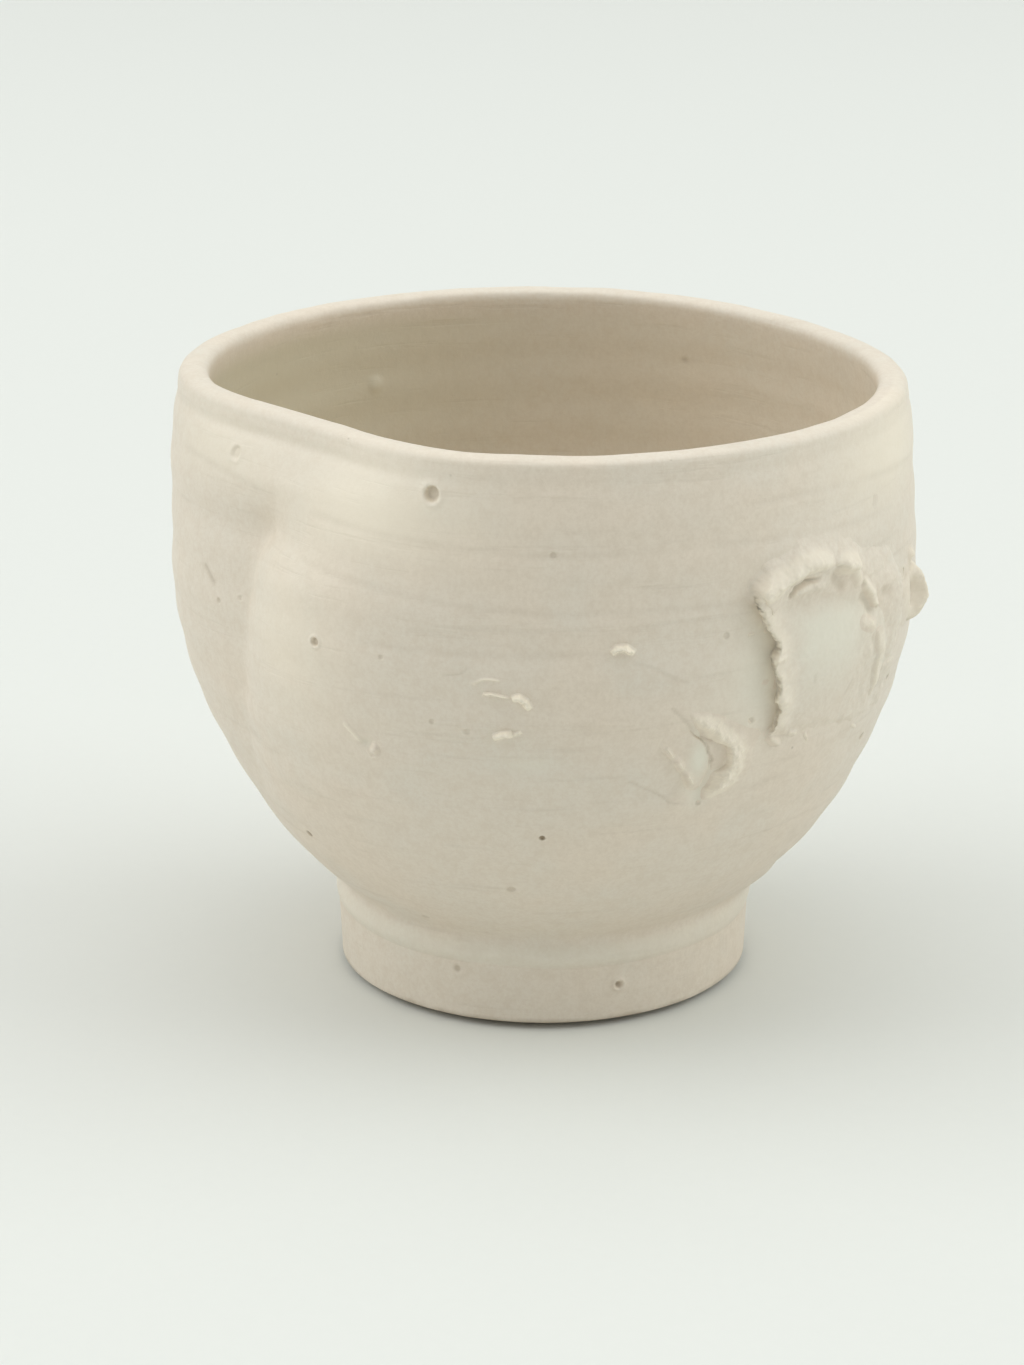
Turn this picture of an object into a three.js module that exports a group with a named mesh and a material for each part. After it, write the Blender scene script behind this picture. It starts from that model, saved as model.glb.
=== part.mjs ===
// A handle-less stoneware cup: a thrown bowl with one side pressed in, the ring it stands on,
// and torn scraps of clay stuck to its wall. Millimetres, +Z up, origin under the middle of the foot.
// Angle 0 is the front, towards -Y, and angles grow to the right, towards +X.

import * as THREE from 'three';

const { degToRad, euclideanModulo, radToDeg, smoothstep } = THREE.MathUtils;

// Gaps between one piece of clay and the next
const SEAT_GAP = 0.3;
const SCRAP_CLEARANCE = 0.5;

// Foot ring
const FOOT_HEIGHT = 9.8;
const FOOT_TOP_RADIUS = 22.9;
const FOOT_REST_RADIUS = 22.4;
const FOOT_WIDTH = 5.6;
const FOOT_BEVEL_WIDTH = 2.3;
const FOOT_BEVEL_HEIGHT = 1;
const FOOT_SHOULDER_ROUND = 1.6;
const FOOT_INNER_ROUND = 0.8;

// Outside of the bowl: a flare from the foot to the belly, then a wall that leans in to the lip
const JOINT_RADIUS = 21.2;
const FLARE_ANGLE = 31;
const FLARE_PULL = 18.5;
const BELLY_RADIUS = 40;
const BELLY_RISE = 35.4;
const BELLY_PULL = 4;
const CUP_HEIGHT = 66.9;
const RIM_LEAN = 9;
const RIM_PULL = 5.5;

// Lip, its crest nearer the inside
const LIP_RADIUS = 36.8;
const LIP_OUTER_WIDTH = 1.9;
const LIP_OUTER_DROP = 1.5;
const LIP_INNER_WIDTH = 1.2;
const LIP_INNER_DROP = 1.2;

// Inside of the bowl
const WALL = 3.4;
const FLOOR = 5;
const INSIDE_FULLNESS = 0.7;

// Press on the lip, and a slighter one at its back
const LIP_PRESS_ANGLE = -46;
const LIP_PRESS_SPREAD = 25;
const LIP_PRESS_DEPTH = 4.7;
const LIP_PRESS_REACH = 18;
const LIP_PRESS_FLATNESS = 2.5;
const BACK_PRESS_ANGLE = 122;
const BACK_PRESS_SPREAD = 34;
const BACK_PRESS_DEPTH = 1.6;
const BACK_PRESS_FLATNESS = 2;

// Crease in the wall below the press, steeper on its right side
const CREASE_TOP_ANGLE = -47;
const CREASE_FOOT_ANGLE = -60;
const CREASE_LEFT_SPREAD = 15;
const CREASE_RIGHT_SPREAD = 9;
const CREASE_DEPTH = 3.4;
const CREASE_REACH = 40;
const CREASE_START = 6;
const CREASE_EASE = 6.5;
const CREASE_FLATNESS = 1.2;

// Torn slab on the right, with the pieces round it placed from its upper left corner
const SLAB_ARC_LENGTH = 22.2;
const SLAB_TOP = 7;
const SLAB_WIDTH = 13.6;
const SLAB_HEIGHT = 16.2;
const SLAB_THICKNESS = 1.5;
const SLAB_LEAN_ANGLE = 16.7;
const SLAB_DROP_ANGLE = 14;
const SLAB_RAG_DEPTH = 0.25;
const ROLL_LENGTH = 9;
const ROLL_WIDTH = 2;
const ROLL_HEIGHT = 1.9;
const ROLL_SAG = 1.3;
const LUMP_WIDTH = 3.6;
const LUMP_HEIGHT = 2.6;
const LUMP_THICKNESS = 2;
const RIDGE_LENGTH = 13;
const RIDGE_WIDTH = 1.6;
const RIDGE_HEIGHT = 1.7;
const SIDE_WIDTH = 6.4;
const SIDE_HEIGHT = 14.5;
const SIDE_THICKNESS = 1.4;
const EDGE_LUMP_SIZE = 3.4;
const EDGE_LUMP_DROP = 0.5;
const EDGE_LUMP_THICKNESS = 2.2;

// Lifted flake and the crescent beside it
const FLAKE_ARC_LENGTH = 15.2;
const FLAKE_RISE = -8.8;
const FLAKE_WIDTH = 5.4;
const FLAKE_HEIGHT = 8;
const FLAKE_THICKNESS = 0.9;
const FLAKE_RAG_DEPTH = 0.12;
const CRESCENT_WIDTH = 1.3;
const CRESCENT_HEIGHT = 0.9;

// Small slivers, crumb and blister on the front
const SLIVER_WIDTH = 0.8;
const SLIVER_HEIGHT = 0.7;
const UPPER_SLIVER_ARC_LENGTH = 7.7;
const UPPER_SLIVER_RISE = 2.7;
const UPPER_SLIVER_LENGTH = 2.6;
const UPPER_SLIVER_TILT = -6;
const UPPER_SLIVER_ARCH = 0.5;
const LOWER_SLIVER_ARC_LENGTH = -4.2;
const LOWER_SLIVER_RISE = -6.3;
const LOWER_SLIVER_LENGTH = 2.1;
const LOWER_SLIVER_TILT = 20;
const LOWER_SLIVER_ARCH = 0.1;
const CRUMB_ARC_LENGTH = -1.9;
const CRUMB_RISE = -2.5;
const CRUMB_SIZE = 1.7;
const CRUMB_THICKNESS = 0.8;
const TAIL_LENGTH = 2.6;
const TAIL_WIDTH = 0.6;
const TAIL_HEIGHT = 0.5;
const TAIL_TILT = -9;
const TAIL_ARCH = 0.1;
const BLISTER_ARC_LENGTH = -18.3;
const BLISTER_RISE = -9.2;
const BLISTER_SIZE = 2.3;
const BLISTER_THICKNESS = 0.7;

// Facets
const TURN_STEPS = 112;
const FOOT_STEPS = 64;
const LONG_CURVE_STEPS = 10;
const SHORT_CURVE_STEPS = 6;
const LIP_STEPS = 3;
const PATCH_STEPS = 40;
const SMALL_STEPS = 20;
const BEAD_STEPS = 10;

// Heights that follow from the sizes above
const SEAT_HEIGHT = FOOT_HEIGHT + SEAT_GAP;
const BELLY_HEIGHT = SEAT_HEIGHT + BELLY_RISE;
const FLOOR_HEIGHT = SEAT_HEIGHT + FLOOR;

function at(radius, height) {
  return new THREE.Vector2(radius, height);
}

// A solid of revolution about +Z, from a line of radius and height
function revolve(line, steps) {
  return new THREE.LatheGeometry(line, steps).rotateX(Math.PI / 2);
}

function joined(curves) {
  const line = [];
  for (const [curve, steps] of curves) {
    line.push(...curve.getPoints(steps).slice(line.length ? 1 : 0));
  }
  return line;
}

function moveVertices(geometry, place) {
  const position = geometry.getAttribute('position');
  const vertex = new THREE.Vector3();
  for (let index = 0; index < position.count; index += 1) {
    const moved = place(vertex.fromBufferAttribute(position, index));
    position.setXYZ(index, moved.x, moved.y, moved.z);
  }
  geometry.computeVertexNormals();
  return geometry;
}

// Outer wall, in two lines that meet upright at the belly
const lipFoot = at(LIP_RADIUS + LIP_OUTER_WIDTH, CUP_HEIGHT - LIP_OUTER_DROP);
const lowerWall = new THREE.CubicBezierCurve(
  at(JOINT_RADIUS, SEAT_HEIGHT),
  at(
    JOINT_RADIUS + FLARE_PULL * Math.cos(degToRad(FLARE_ANGLE)),
    SEAT_HEIGHT + FLARE_PULL * Math.sin(degToRad(FLARE_ANGLE)),
  ),
  at(BELLY_RADIUS, BELLY_HEIGHT - BELLY_PULL),
  at(BELLY_RADIUS, BELLY_HEIGHT),
);
const upperWall = new THREE.CubicBezierCurve(
  at(BELLY_RADIUS, BELLY_HEIGHT),
  at(BELLY_RADIUS, BELLY_HEIGHT + RIM_PULL),
  at(
    lipFoot.x + RIM_PULL * Math.sin(degToRad(RIM_LEAN)),
    lipFoot.y - RIM_PULL * Math.cos(degToRad(RIM_LEAN)),
  ),
  lipFoot,
);

function roundRadius(height) {
  const curve = height < BELLY_HEIGHT ? lowerWall : upperWall;
  let low = 0;
  let high = 1;
  for (let halving = 0; halving < 24; halving += 1) {
    const middle = (low + high) / 2;
    if (curve.getPoint(middle).y < height) {
      low = middle;
    } else {
      high = middle;
    }
  }
  return curve.getPoint(low).x;
}

function fallOff(distance, spread, power) {
  return Math.exp(-(Math.abs(distance / spread) ** power));
}

// How far the wall is pressed in at an angle in degrees and a height
function pressedIn(angle, height) {
  const below = CUP_HEIGHT - height;
  const easing = 1 - smoothstep(below, 0, LIP_PRESS_REACH);
  const front = LIP_PRESS_DEPTH * fallOff(angle - LIP_PRESS_ANGLE, LIP_PRESS_SPREAD, LIP_PRESS_FLATNESS);
  const back = BACK_PRESS_DEPTH * fallOff(angle - BACK_PRESS_ANGLE, BACK_PRESS_SPREAD, BACK_PRESS_FLATNESS);
  const slide = below / CREASE_REACH;
  const off = angle - CREASE_TOP_ANGLE - (CREASE_FOOT_ANGLE - CREASE_TOP_ANGLE) * slide;
  const spread = off < 0 ? CREASE_LEFT_SPREAD : CREASE_RIGHT_SPREAD;
  const opening = smoothstep(below, CREASE_START, CREASE_START + CREASE_EASE);
  const closing = 1 - smoothstep(below, CREASE_START + CREASE_EASE, CREASE_REACH);
  const crease = CREASE_DEPTH * opening * closing * fallOff(off, spread, CREASE_FLATNESS);
  return easing * (front + back) + crease;
}

function thrownBowl() {
  const crest = at(LIP_RADIUS, CUP_HEIGHT);
  const lipInside = at(LIP_RADIUS - LIP_INNER_WIDTH, CUP_HEIGHT - LIP_INNER_DROP);
  const insideBelly = at(BELLY_RADIUS - WALL, BELLY_HEIGHT);
  const lipRoll = new THREE.QuadraticBezierCurve(lipFoot, at(lipFoot.x, crest.y), crest);
  const lipTurn = new THREE.QuadraticBezierCurve(crest, at(lipInside.x, crest.y), lipInside);
  const insideUpper = new THREE.CubicBezierCurve(
    lipInside,
    at(lipInside.x + RIM_PULL * Math.sin(degToRad(RIM_LEAN)), lipInside.y - RIM_PULL),
    at(insideBelly.x, insideBelly.y + RIM_PULL),
    insideBelly,
  );
  const insideDepth = BELLY_HEIGHT - FLOOR_HEIGHT;
  const insideLower = new THREE.CubicBezierCurve(
    insideBelly,
    at(insideBelly.x, BELLY_HEIGHT - INSIDE_FULLNESS * insideDepth),
    at(INSIDE_FULLNESS * insideBelly.x, FLOOR_HEIGHT),
    at(0, FLOOR_HEIGHT),
  );
  const base = new THREE.LineCurve(at(0, SEAT_HEIGHT), lowerWall.v0);
  const line = joined([
    [base, 1],
    [lowerWall, LONG_CURVE_STEPS],
    [upperWall, SHORT_CURVE_STEPS],
    [lipRoll, LIP_STEPS],
    [lipTurn, LIP_STEPS],
    [insideUpper, SHORT_CURVE_STEPS],
    [insideLower, LONG_CURVE_STEPS],
  ]);
  return moveVertices(revolve(line, TURN_STEPS), (vertex) => {
    const angle = radToDeg(Math.atan2(vertex.x, -vertex.y));
    const radius = Math.hypot(vertex.x, vertex.y);
    const pressed = radius > 0 ? (radius - pressedIn(angle, vertex.z)) / radius : 1;
    return new THREE.Vector3(vertex.x * pressed, vertex.y * pressed, vertex.z);
  });
}

// Ring bevelled at its lower edge, with a rounded shoulder that shows as a ledge under the bowl
function footRing() {
  const hole = FOOT_REST_RADIUS - FOOT_WIDTH;
  const shoulder = FOOT_HEIGHT - FOOT_SHOULDER_ROUND;
  const line = new THREE.Path();
  line.moveTo(hole + FOOT_INNER_ROUND, 0);
  line.lineTo(FOOT_REST_RADIUS - FOOT_BEVEL_WIDTH, 0);
  line.lineTo(FOOT_REST_RADIUS, FOOT_BEVEL_HEIGHT);
  line.lineTo(FOOT_TOP_RADIUS, shoulder);
  line.quadraticCurveTo(FOOT_TOP_RADIUS, FOOT_HEIGHT, FOOT_TOP_RADIUS - FOOT_SHOULDER_ROUND, FOOT_HEIGHT);
  line.lineTo(hole, FOOT_HEIGHT);
  line.lineTo(hole, FOOT_INNER_ROUND);
  line.lineTo(hole + FOOT_INNER_ROUND, 0);
  return revolve(line.getPoints(LIP_STEPS), FOOT_STEPS);
}

// A point over the wall: arc along the belly circle, rise over the belly line, and lift off the clay's seat
function onWall(arc, rise, lift) {
  const angle = arc / BELLY_RADIUS;
  const height = BELLY_HEIGHT + rise;
  const radius = roundRadius(height) - pressedIn(radToDeg(angle), height) + SEAT_GAP + lift;
  return new THREE.Vector3(radius * Math.sin(angle), -radius * Math.cos(angle), height);
}

// Cross-sections of the flat scraps, from the middle of the underside to the middle of the top:
// share of the way to the edge, and share of the thickness
const HOLLOW_SECTION = [
  [0, 0], [0.33, 0], [0.66, 0], [0.97, 0], [1, 0.45],
  [0.95, 0.95], [0.86, 1], [0.74, 0.68], [0.4, 0.58], [0, 0.55],
];
const PEBBLE_SECTION = [[0, 0], [0.5, 0], [0.94, 0], [1, 0.3], [0.82, 0.78], [0.45, 1], [0, 1]];

// A torn edge: two waves that never repeat together, between -1 and 1
function tornWave(turn) {
  return 0.6 * Math.sin(22 * Math.PI * turn + 0.7) + 0.4 * Math.sin(14 * Math.PI * turn);
}

function smoothLine(stations, closed) {
  return new THREE.CatmullRomCurve3(stations.map(([arc, rise]) => new THREE.Vector3(arc, rise, 0)), closed);
}

// A flat scrap with a closed outline of arc and rise, run anticlockwise seen from outside
function patch(outline, thickness, section, rag, steps) {
  const edge = smoothLine(outline, true);
  const middle = new THREE.Vector3();
  edge.points.forEach((point) => middle.addScaledVector(point, 1 / edge.points.length));
  const flat = revolve(section.map(([reach, lift]) => at(reach, lift)), steps);
  return moveVertices(flat, (vertex) => {
    const turn = euclideanModulo(Math.atan2(vertex.y, vertex.x) / (2 * Math.PI), 1);
    const spoke = edge.getPoint(turn).sub(middle);
    spoke.setLength(spoke.length() + rag * tornWave(turn));
    const place = middle.clone().addScaledVector(spoke, Math.hypot(vertex.x, vertex.y));
    return onWall(place.x, place.y, vertex.z * thickness);
  });
}

// A half-round bead with pointed ends along a line of arc and rise
const SPINDLE = [[0, 0], [0.62, 0.08], [0.92, 0.25], [1, 0.5], [0.92, 0.75], [0.62, 0.92], [0, 1]];

function bead(stations, width, height) {
  const path = smoothLine(stations, false);
  const spindle = revolve(SPINDLE.map(([reach, along]) => at(reach, along)), BEAD_STEPS);
  return moveVertices(spindle, (vertex) => {
    const along = Math.min(1, Math.max(0, vertex.z));
    const centre = path.getPoint(along);
    const heading = path.getTangent(along);
    const side = vertex.x * width / 2;
    return onWall(centre.x - heading.y * side, centre.y + heading.x * side, Math.max(0, vertex.y) * height);
  });
}

// A point in the slab's own slanted frame: across to the right and up, from its upper left corner
function bySlab(across, up) {
  const fall = up - Math.tan(degToRad(SLAB_DROP_ANGLE)) * across;
  return [SLAB_ARC_LENGTH + across - Math.tan(degToRad(SLAB_LEAN_ANGLE)) * fall, SLAB_TOP + fall];
}

// Outline of the slab as shares of its width and height, from the lower left corner round
const SLAB_OUTLINE = [
  [-0.06, -0.9], [0.17, -0.95], [0.42, -0.94], [0.7, -1], [0.92, -0.97],
  [1, -0.75], [0.99, -0.5], [0.97, -0.25], [0.92, -0.05],
  [0.8, 0.02], [0.6, 0.07], [0.4, 0.07], [0.18, 0.03], [0, -0.02],
  [-0.02, -0.15], [0.02, -0.25], [0.09, -0.34], [0.03, -0.45], [0.02, -0.6], [0, -0.75],
];

function tornSlab() {
  const outline = SLAB_OUTLINE.map(([u, v]) => bySlab(u * SLAB_WIDTH, v * SLAB_HEIGHT));
  return patch(outline, SLAB_THICKNESS, HOLLOW_SECTION, SLAB_RAG_DEPTH, PATCH_STEPS);
}

// Where the pieces along the slab's top start, clear of the highest point of its outline
const SLAB_CREST = Math.max(...SLAB_OUTLINE.map(([, v]) => v)) * SLAB_HEIGHT;
const SLAB_CROWN = SLAB_CREST + SLAB_RAG_DEPTH + SCRAP_CLEARANCE;

function slabTopRoll() {
  const stations = [0, 0.34, 0.68, 1].map((share) => (
    bySlab(share * ROLL_LENGTH, SLAB_CROWN + ROLL_WIDTH / 2 - ROLL_SAG * (1 - share) ** 2)
  ));
  return bead(stations, ROLL_WIDTH, ROLL_HEIGHT);
}

function roundOutline(place, width, height) {
  return [0, 1, 2, 3, 4, 5, 6, 7].map((step) => {
    const turn = step * Math.PI / 4;
    return place(Math.cos(turn) * width / 2, Math.sin(turn) * height / 2);
  });
}

function slabTopLump() {
  const across = ROLL_LENGTH + SCRAP_CLEARANCE + LUMP_WIDTH / 2;
  const up = SLAB_CROWN + LUMP_HEIGHT / 2;
  const outline = roundOutline((x, y) => bySlab(across + x, up + y), LUMP_WIDTH, LUMP_HEIGHT);
  return patch(outline, LUMP_THICKNESS, PEBBLE_SECTION, 0, SMALL_STEPS);
}

const RIDGE_ACROSS = SLAB_WIDTH + SLAB_RAG_DEPTH + SCRAP_CLEARANCE + RIDGE_WIDTH / 2;

function slabSideRidge() {
  const stations = [0, 0.33, 0.67, 1].map((share) => bySlab(RIDGE_ACROSS, -share * RIDGE_LENGTH));
  return bead(stations.reverse(), RIDGE_WIDTH, RIDGE_HEIGHT);
}

const SIDE_LEFT = RIDGE_ACROSS + RIDGE_WIDTH / 2 + SCRAP_CLEARANCE + SLAB_RAG_DEPTH;
const SIDE_OUTLINE = [
  [0.05, -0.8], [0.35, -0.98], [0.75, -1], [0.9, -0.7], [0.85, -0.45], [1, -0.2],
  [0.95, 0], [0.6, 0.04], [0.2, 0], [0, -0.15], [0.08, -0.4], [0, -0.6],
];

function slabSideScrap() {
  const outline = SIDE_OUTLINE.map(([u, v]) => bySlab(SIDE_LEFT + u * SIDE_WIDTH, v * SIDE_HEIGHT));
  return patch(outline, SIDE_THICKNESS, HOLLOW_SECTION, SLAB_RAG_DEPTH, PATCH_STEPS);
}

function slabEdgeLump() {
  const across = SIDE_LEFT + SIDE_WIDTH + SLAB_RAG_DEPTH + SCRAP_CLEARANCE + EDGE_LUMP_SIZE / 2;
  const place = (x, y) => bySlab(across + x, y - EDGE_LUMP_DROP);
  const outline = roundOutline(place, EDGE_LUMP_SIZE, EDGE_LUMP_SIZE);
  return patch(outline, EDGE_LUMP_THICKNESS, PEBBLE_SECTION, 0, SMALL_STEPS);
}

// Outline of the flake as shares of half its width and height, from its lower tip round
const FLAKE_OUTLINE = [
  [0.37, -0.95], [0.85, -0.95], [1, -0.7], [0.75, 0.1], [0.35, 0.25],
  [-0.25, 0.75], [-0.7, 1], [-0.95, 0.55], [-0.95, 0.1], [-0.3, -0.4],
];

function curledFlake() {
  const outline = FLAKE_OUTLINE.map(([u, v]) => (
    [FLAKE_ARC_LENGTH + u * FLAKE_WIDTH / 2, FLAKE_RISE + v * FLAKE_HEIGHT / 2]
  ));
  return patch(outline, FLAKE_THICKNESS, HOLLOW_SECTION, FLAKE_RAG_DEPTH, SMALL_STEPS);
}

// Crescent that keeps clear of the flake's right side and curls under its lower tip
function flakeRim() {
  const clear = SCRAP_CLEARANCE + FLAKE_RAG_DEPTH + CRESCENT_WIDTH / 2;
  const shares = [[0.6, -1.45], [1.1, -1.2], [1.5, -0.7], [1.45, -0.25], [1, 0.2], [0.35, 0.6], [-0.2, 1]];
  const stations = shares.map(([u, v]) => (
    [FLAKE_ARC_LENGTH + (u * FLAKE_WIDTH + clear) / 2, FLAKE_RISE + (v * FLAKE_HEIGHT + clear) / 2]
  ));
  return bead(stations, CRESCENT_WIDTH, CRESCENT_HEIGHT);
}

// Three stations of a short sliver: its middle arches up over the line between its tilted ends
function sliverLine(arc, rise, length, tilt, arch) {
  const across = Math.cos(degToRad(tilt)) * length / 2;
  const up = Math.sin(degToRad(tilt)) * length / 2;
  return [[arc - across, rise - up], [arc, rise + arch], [arc + across, rise + up]];
}

function upperSliver() {
  const line = sliverLine(
    UPPER_SLIVER_ARC_LENGTH, UPPER_SLIVER_RISE, UPPER_SLIVER_LENGTH, UPPER_SLIVER_TILT, UPPER_SLIVER_ARCH,
  );
  return bead(line, SLIVER_WIDTH, SLIVER_HEIGHT);
}

function lowerSliver() {
  const line = sliverLine(
    LOWER_SLIVER_ARC_LENGTH, LOWER_SLIVER_RISE, LOWER_SLIVER_LENGTH, LOWER_SLIVER_TILT, LOWER_SLIVER_ARCH,
  );
  return bead(line, SLIVER_WIDTH, SLIVER_HEIGHT);
}

function middleCrumb() {
  const place = (x, y) => [CRUMB_ARC_LENGTH + x, CRUMB_RISE + y];
  const outline = roundOutline(place, CRUMB_SIZE, CRUMB_SIZE);
  return patch(outline, CRUMB_THICKNESS, PEBBLE_SECTION, 0, SMALL_STEPS);
}

// Tail that ends short of the crumb's left side
function middleTail() {
  const arc = CRUMB_ARC_LENGTH - CRUMB_SIZE / 2 - SCRAP_CLEARANCE - TAIL_LENGTH / 2;
  const line = sliverLine(arc, CRUMB_RISE + CRUMB_SIZE / 4, TAIL_LENGTH, TAIL_TILT, TAIL_ARCH);
  return bead(line, TAIL_WIDTH, TAIL_HEIGHT);
}

function smallBlister() {
  const place = (x, y) => [BLISTER_ARC_LENGTH + x, BLISTER_RISE + y];
  const outline = roundOutline(place, BLISTER_SIZE, BLISTER_SIZE);
  return patch(outline, BLISTER_THICKNESS, HOLLOW_SECTION, 0, SMALL_STEPS);
}

// Matt glaze over the clay, a little warmer where it breaks over an edge
function glazed(name, geometry, colour, roughness) {
  const material = new THREE.MeshStandardMaterial({ color: colour, roughness, metalness: 0 });
  const mesh = new THREE.Mesh(geometry, material);
  mesh.name = name;
  return mesh;
}

const cup = new THREE.Group();
cup.add(
  glazed('thrown_bowl', thrownBowl(), 0xdcd2c2, 0.6),
  glazed('foot_ring', footRing(), 0xd8cfc1, 0.62),
  glazed('torn_slab', tornSlab(), 0xd5d2c6, 0.55),
  glazed('slab_top_roll', slabTopRoll(), 0xe4d8c6, 0.6),
  glazed('slab_top_lump', slabTopLump(), 0xe2d6c4, 0.6),
  glazed('slab_side_ridge', slabSideRidge(), 0xdfd3c1, 0.6),
  glazed('slab_side_scrap', slabSideScrap(), 0xd9d5ca, 0.58),
  glazed('slab_edge_lump', slabEdgeLump(), 0xe0d4c2, 0.6),
  glazed('curled_flake', curledFlake(), 0xd3cfc2, 0.5),
  glazed('flake_rim', flakeRim(), 0xe3d8c7, 0.6),
  glazed('upper_sliver', upperSliver(), 0xeadfcc, 0.62),
  glazed('middle_tail', middleTail(), 0xe6dac8, 0.62),
  glazed('middle_crumb', middleCrumb(), 0xeadfcc, 0.62),
  glazed('lower_sliver', lowerSliver(), 0xe8ddca, 0.62),
  glazed('small_blister', smallBlister(), 0xd6ccbb, 0.6),
);

export default cup;
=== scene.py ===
import bisect
import math

import bmesh
import bpy
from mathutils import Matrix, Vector, geometry, noise
from mathutils.kdtree import KDTree


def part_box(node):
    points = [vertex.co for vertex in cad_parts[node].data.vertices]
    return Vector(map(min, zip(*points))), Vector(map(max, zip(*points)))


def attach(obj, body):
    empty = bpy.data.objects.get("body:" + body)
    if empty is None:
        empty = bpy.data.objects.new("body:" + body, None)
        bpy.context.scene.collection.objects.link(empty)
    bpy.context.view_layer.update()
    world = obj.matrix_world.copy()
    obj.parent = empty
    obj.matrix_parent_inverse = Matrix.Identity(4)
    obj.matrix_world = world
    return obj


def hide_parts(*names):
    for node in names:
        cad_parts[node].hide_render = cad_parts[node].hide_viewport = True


# Stoneware cup, thrown and glazed. Sizes here are in millimetres and angles in degrees, and each mesh is
# scaled to metres when it is done. A place on the wall is an arc, to the right of the front, and a rise
# over the belly line.
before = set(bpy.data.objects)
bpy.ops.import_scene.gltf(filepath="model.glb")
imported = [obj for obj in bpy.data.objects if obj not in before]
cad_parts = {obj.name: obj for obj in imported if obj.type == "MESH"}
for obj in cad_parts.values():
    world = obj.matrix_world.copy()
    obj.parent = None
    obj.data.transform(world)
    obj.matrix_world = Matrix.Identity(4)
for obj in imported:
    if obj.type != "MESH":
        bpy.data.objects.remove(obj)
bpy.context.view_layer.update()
mm = 0.001
weld = 0.0005

bowlLow, bowlHigh = (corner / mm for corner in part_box("thrown_bowl"))
rimHeight = bowlHigh.z
seatHeight = bowlLow.z
footHeight = [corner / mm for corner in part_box("foot_ring")][1].z
bellyRadius = bowlHigh.x
bellyHeight = 45.5
print("frame loaded, rim at", round(rimHeight, 2), "belly radius", round(bellyRadius, 2))


def clamp(value, low=0.0, high=1.0):
    return max(low, min(high, value))


def smoothStep(value, low, high):
    share = clamp((value - low) / (high - low))
    return share * share * (3 - 2 * share)


# Share that is 1 between two soft limits
def between(value, rising, falling):
    return smoothStep(value, *rising) * (1 - smoothStep(value, *falling))


def fallOff(distance, spread, power=2.0):
    return math.exp(-abs(distance / spread) ** power)


def mixed(low, high, share):
    return low + (high - low) * share


def curvePoints(ends, pulls, steps):
    start, end = (Vector(point) for point in ends)
    first, last = (Vector(point) for point in pulls)
    return geometry.interpolate_bezier(start, first, last, end, steps + 1)


# Smooth line through a few points
def smoothLine(points, steps):
    points = [Vector(point) for point in points]
    last = len(points) - 1
    line = []
    for index in range(last):
        before, after = points[max(index - 1, 0)], points[min(index + 2, last)]
        start, end = points[index], points[index + 1]
        pulls = (start + (end - before) / 6, end - (after - start) / 6)
        line += curvePoints((start, end), pulls, steps)[:-1]
    return line + [points[-1]]


# Value of a line of (position, value) points at a position between them
def valueAt(points, position):
    index = clamp(bisect.bisect([point[0] for point in points], position), 1, len(points) - 1)
    (low, lowValue), (high, highValue) = points[index - 1], points[index]
    return mixed(lowValue, highValue, clamp((position - low) / (high - low)))


# Uneven clay: noise between -1 and 1, about "size" millimetres from bump to bump
def lumpy(place, size, seed, octaves=3):
    shift = Vector((seed * 7.3, seed * 3.1, seed * 5.7))
    return noise.fractal(Vector(place) / size + shift, 0.9, 2.1, octaves)


# Outline of the bowl's wall
bowl = {
    "jointRadius": 21.2, "flareAngle": 31, "flarePull": 18.5, "bellyPull": 4, "rimPull": 5.5, "rimLean": 9,
    "lipRadius": 37.1, "lipOuterWidth": 1.6, "lipOuterDrop": 1.1, "lipInnerWidth": 1.5, "lipInnerDrop": 1.2,
    "lipFullness": 0.74, "wall": 3.4, "floor": 5.0, "insideFullness": 0.7,
    "turnSteps": 240, "lowerSteps": 110, "upperSteps": 92, "lipSteps": 9, "insideSteps": 26, "floorSteps": 5,
    "holeReaches": (2.0, 1.5, 1.1), "crackReaches": (0.9, 0.6), "fleckReaches": (2.2, 1.6, 1.2),
    "hollowPool": 1.4,
}

flare = math.radians(bowl["flareAngle"])
lean = math.radians(bowl["rimLean"])
jointPoint = Vector((bowl["jointRadius"], seatHeight))
bellyPoint = Vector((bellyRadius, bellyHeight))
lipFoot = Vector((bowl["lipRadius"] + bowl["lipOuterWidth"], rimHeight - bowl["lipOuterDrop"]))
lowerWall = curvePoints(
    (jointPoint, bellyPoint),
    (
        jointPoint + bowl["flarePull"] * Vector((math.cos(flare), math.sin(flare))),
        bellyPoint - Vector((0, bowl["bellyPull"])),
    ),
    bowl["lowerSteps"],
)
upperWall = curvePoints(
    (bellyPoint, lipFoot),
    (
        bellyPoint + Vector((0, bowl["rimPull"])),
        lipFoot + bowl["rimPull"] * Vector((math.sin(lean), -math.cos(lean))),
    ),
    bowl["upperSteps"],
)
outerWall = lowerWall + upperWall[1:]
outerHeights = [point.y for point in outerWall]


def roundRadius(height):
    index = clamp(bisect.bisect(outerHeights, height), 1, len(outerWall) - 1)
    low, high = outerWall[index - 1], outerWall[index]
    return low.lerp(high, clamp((height - low.y) / (high.y - low.y))).x


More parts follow.
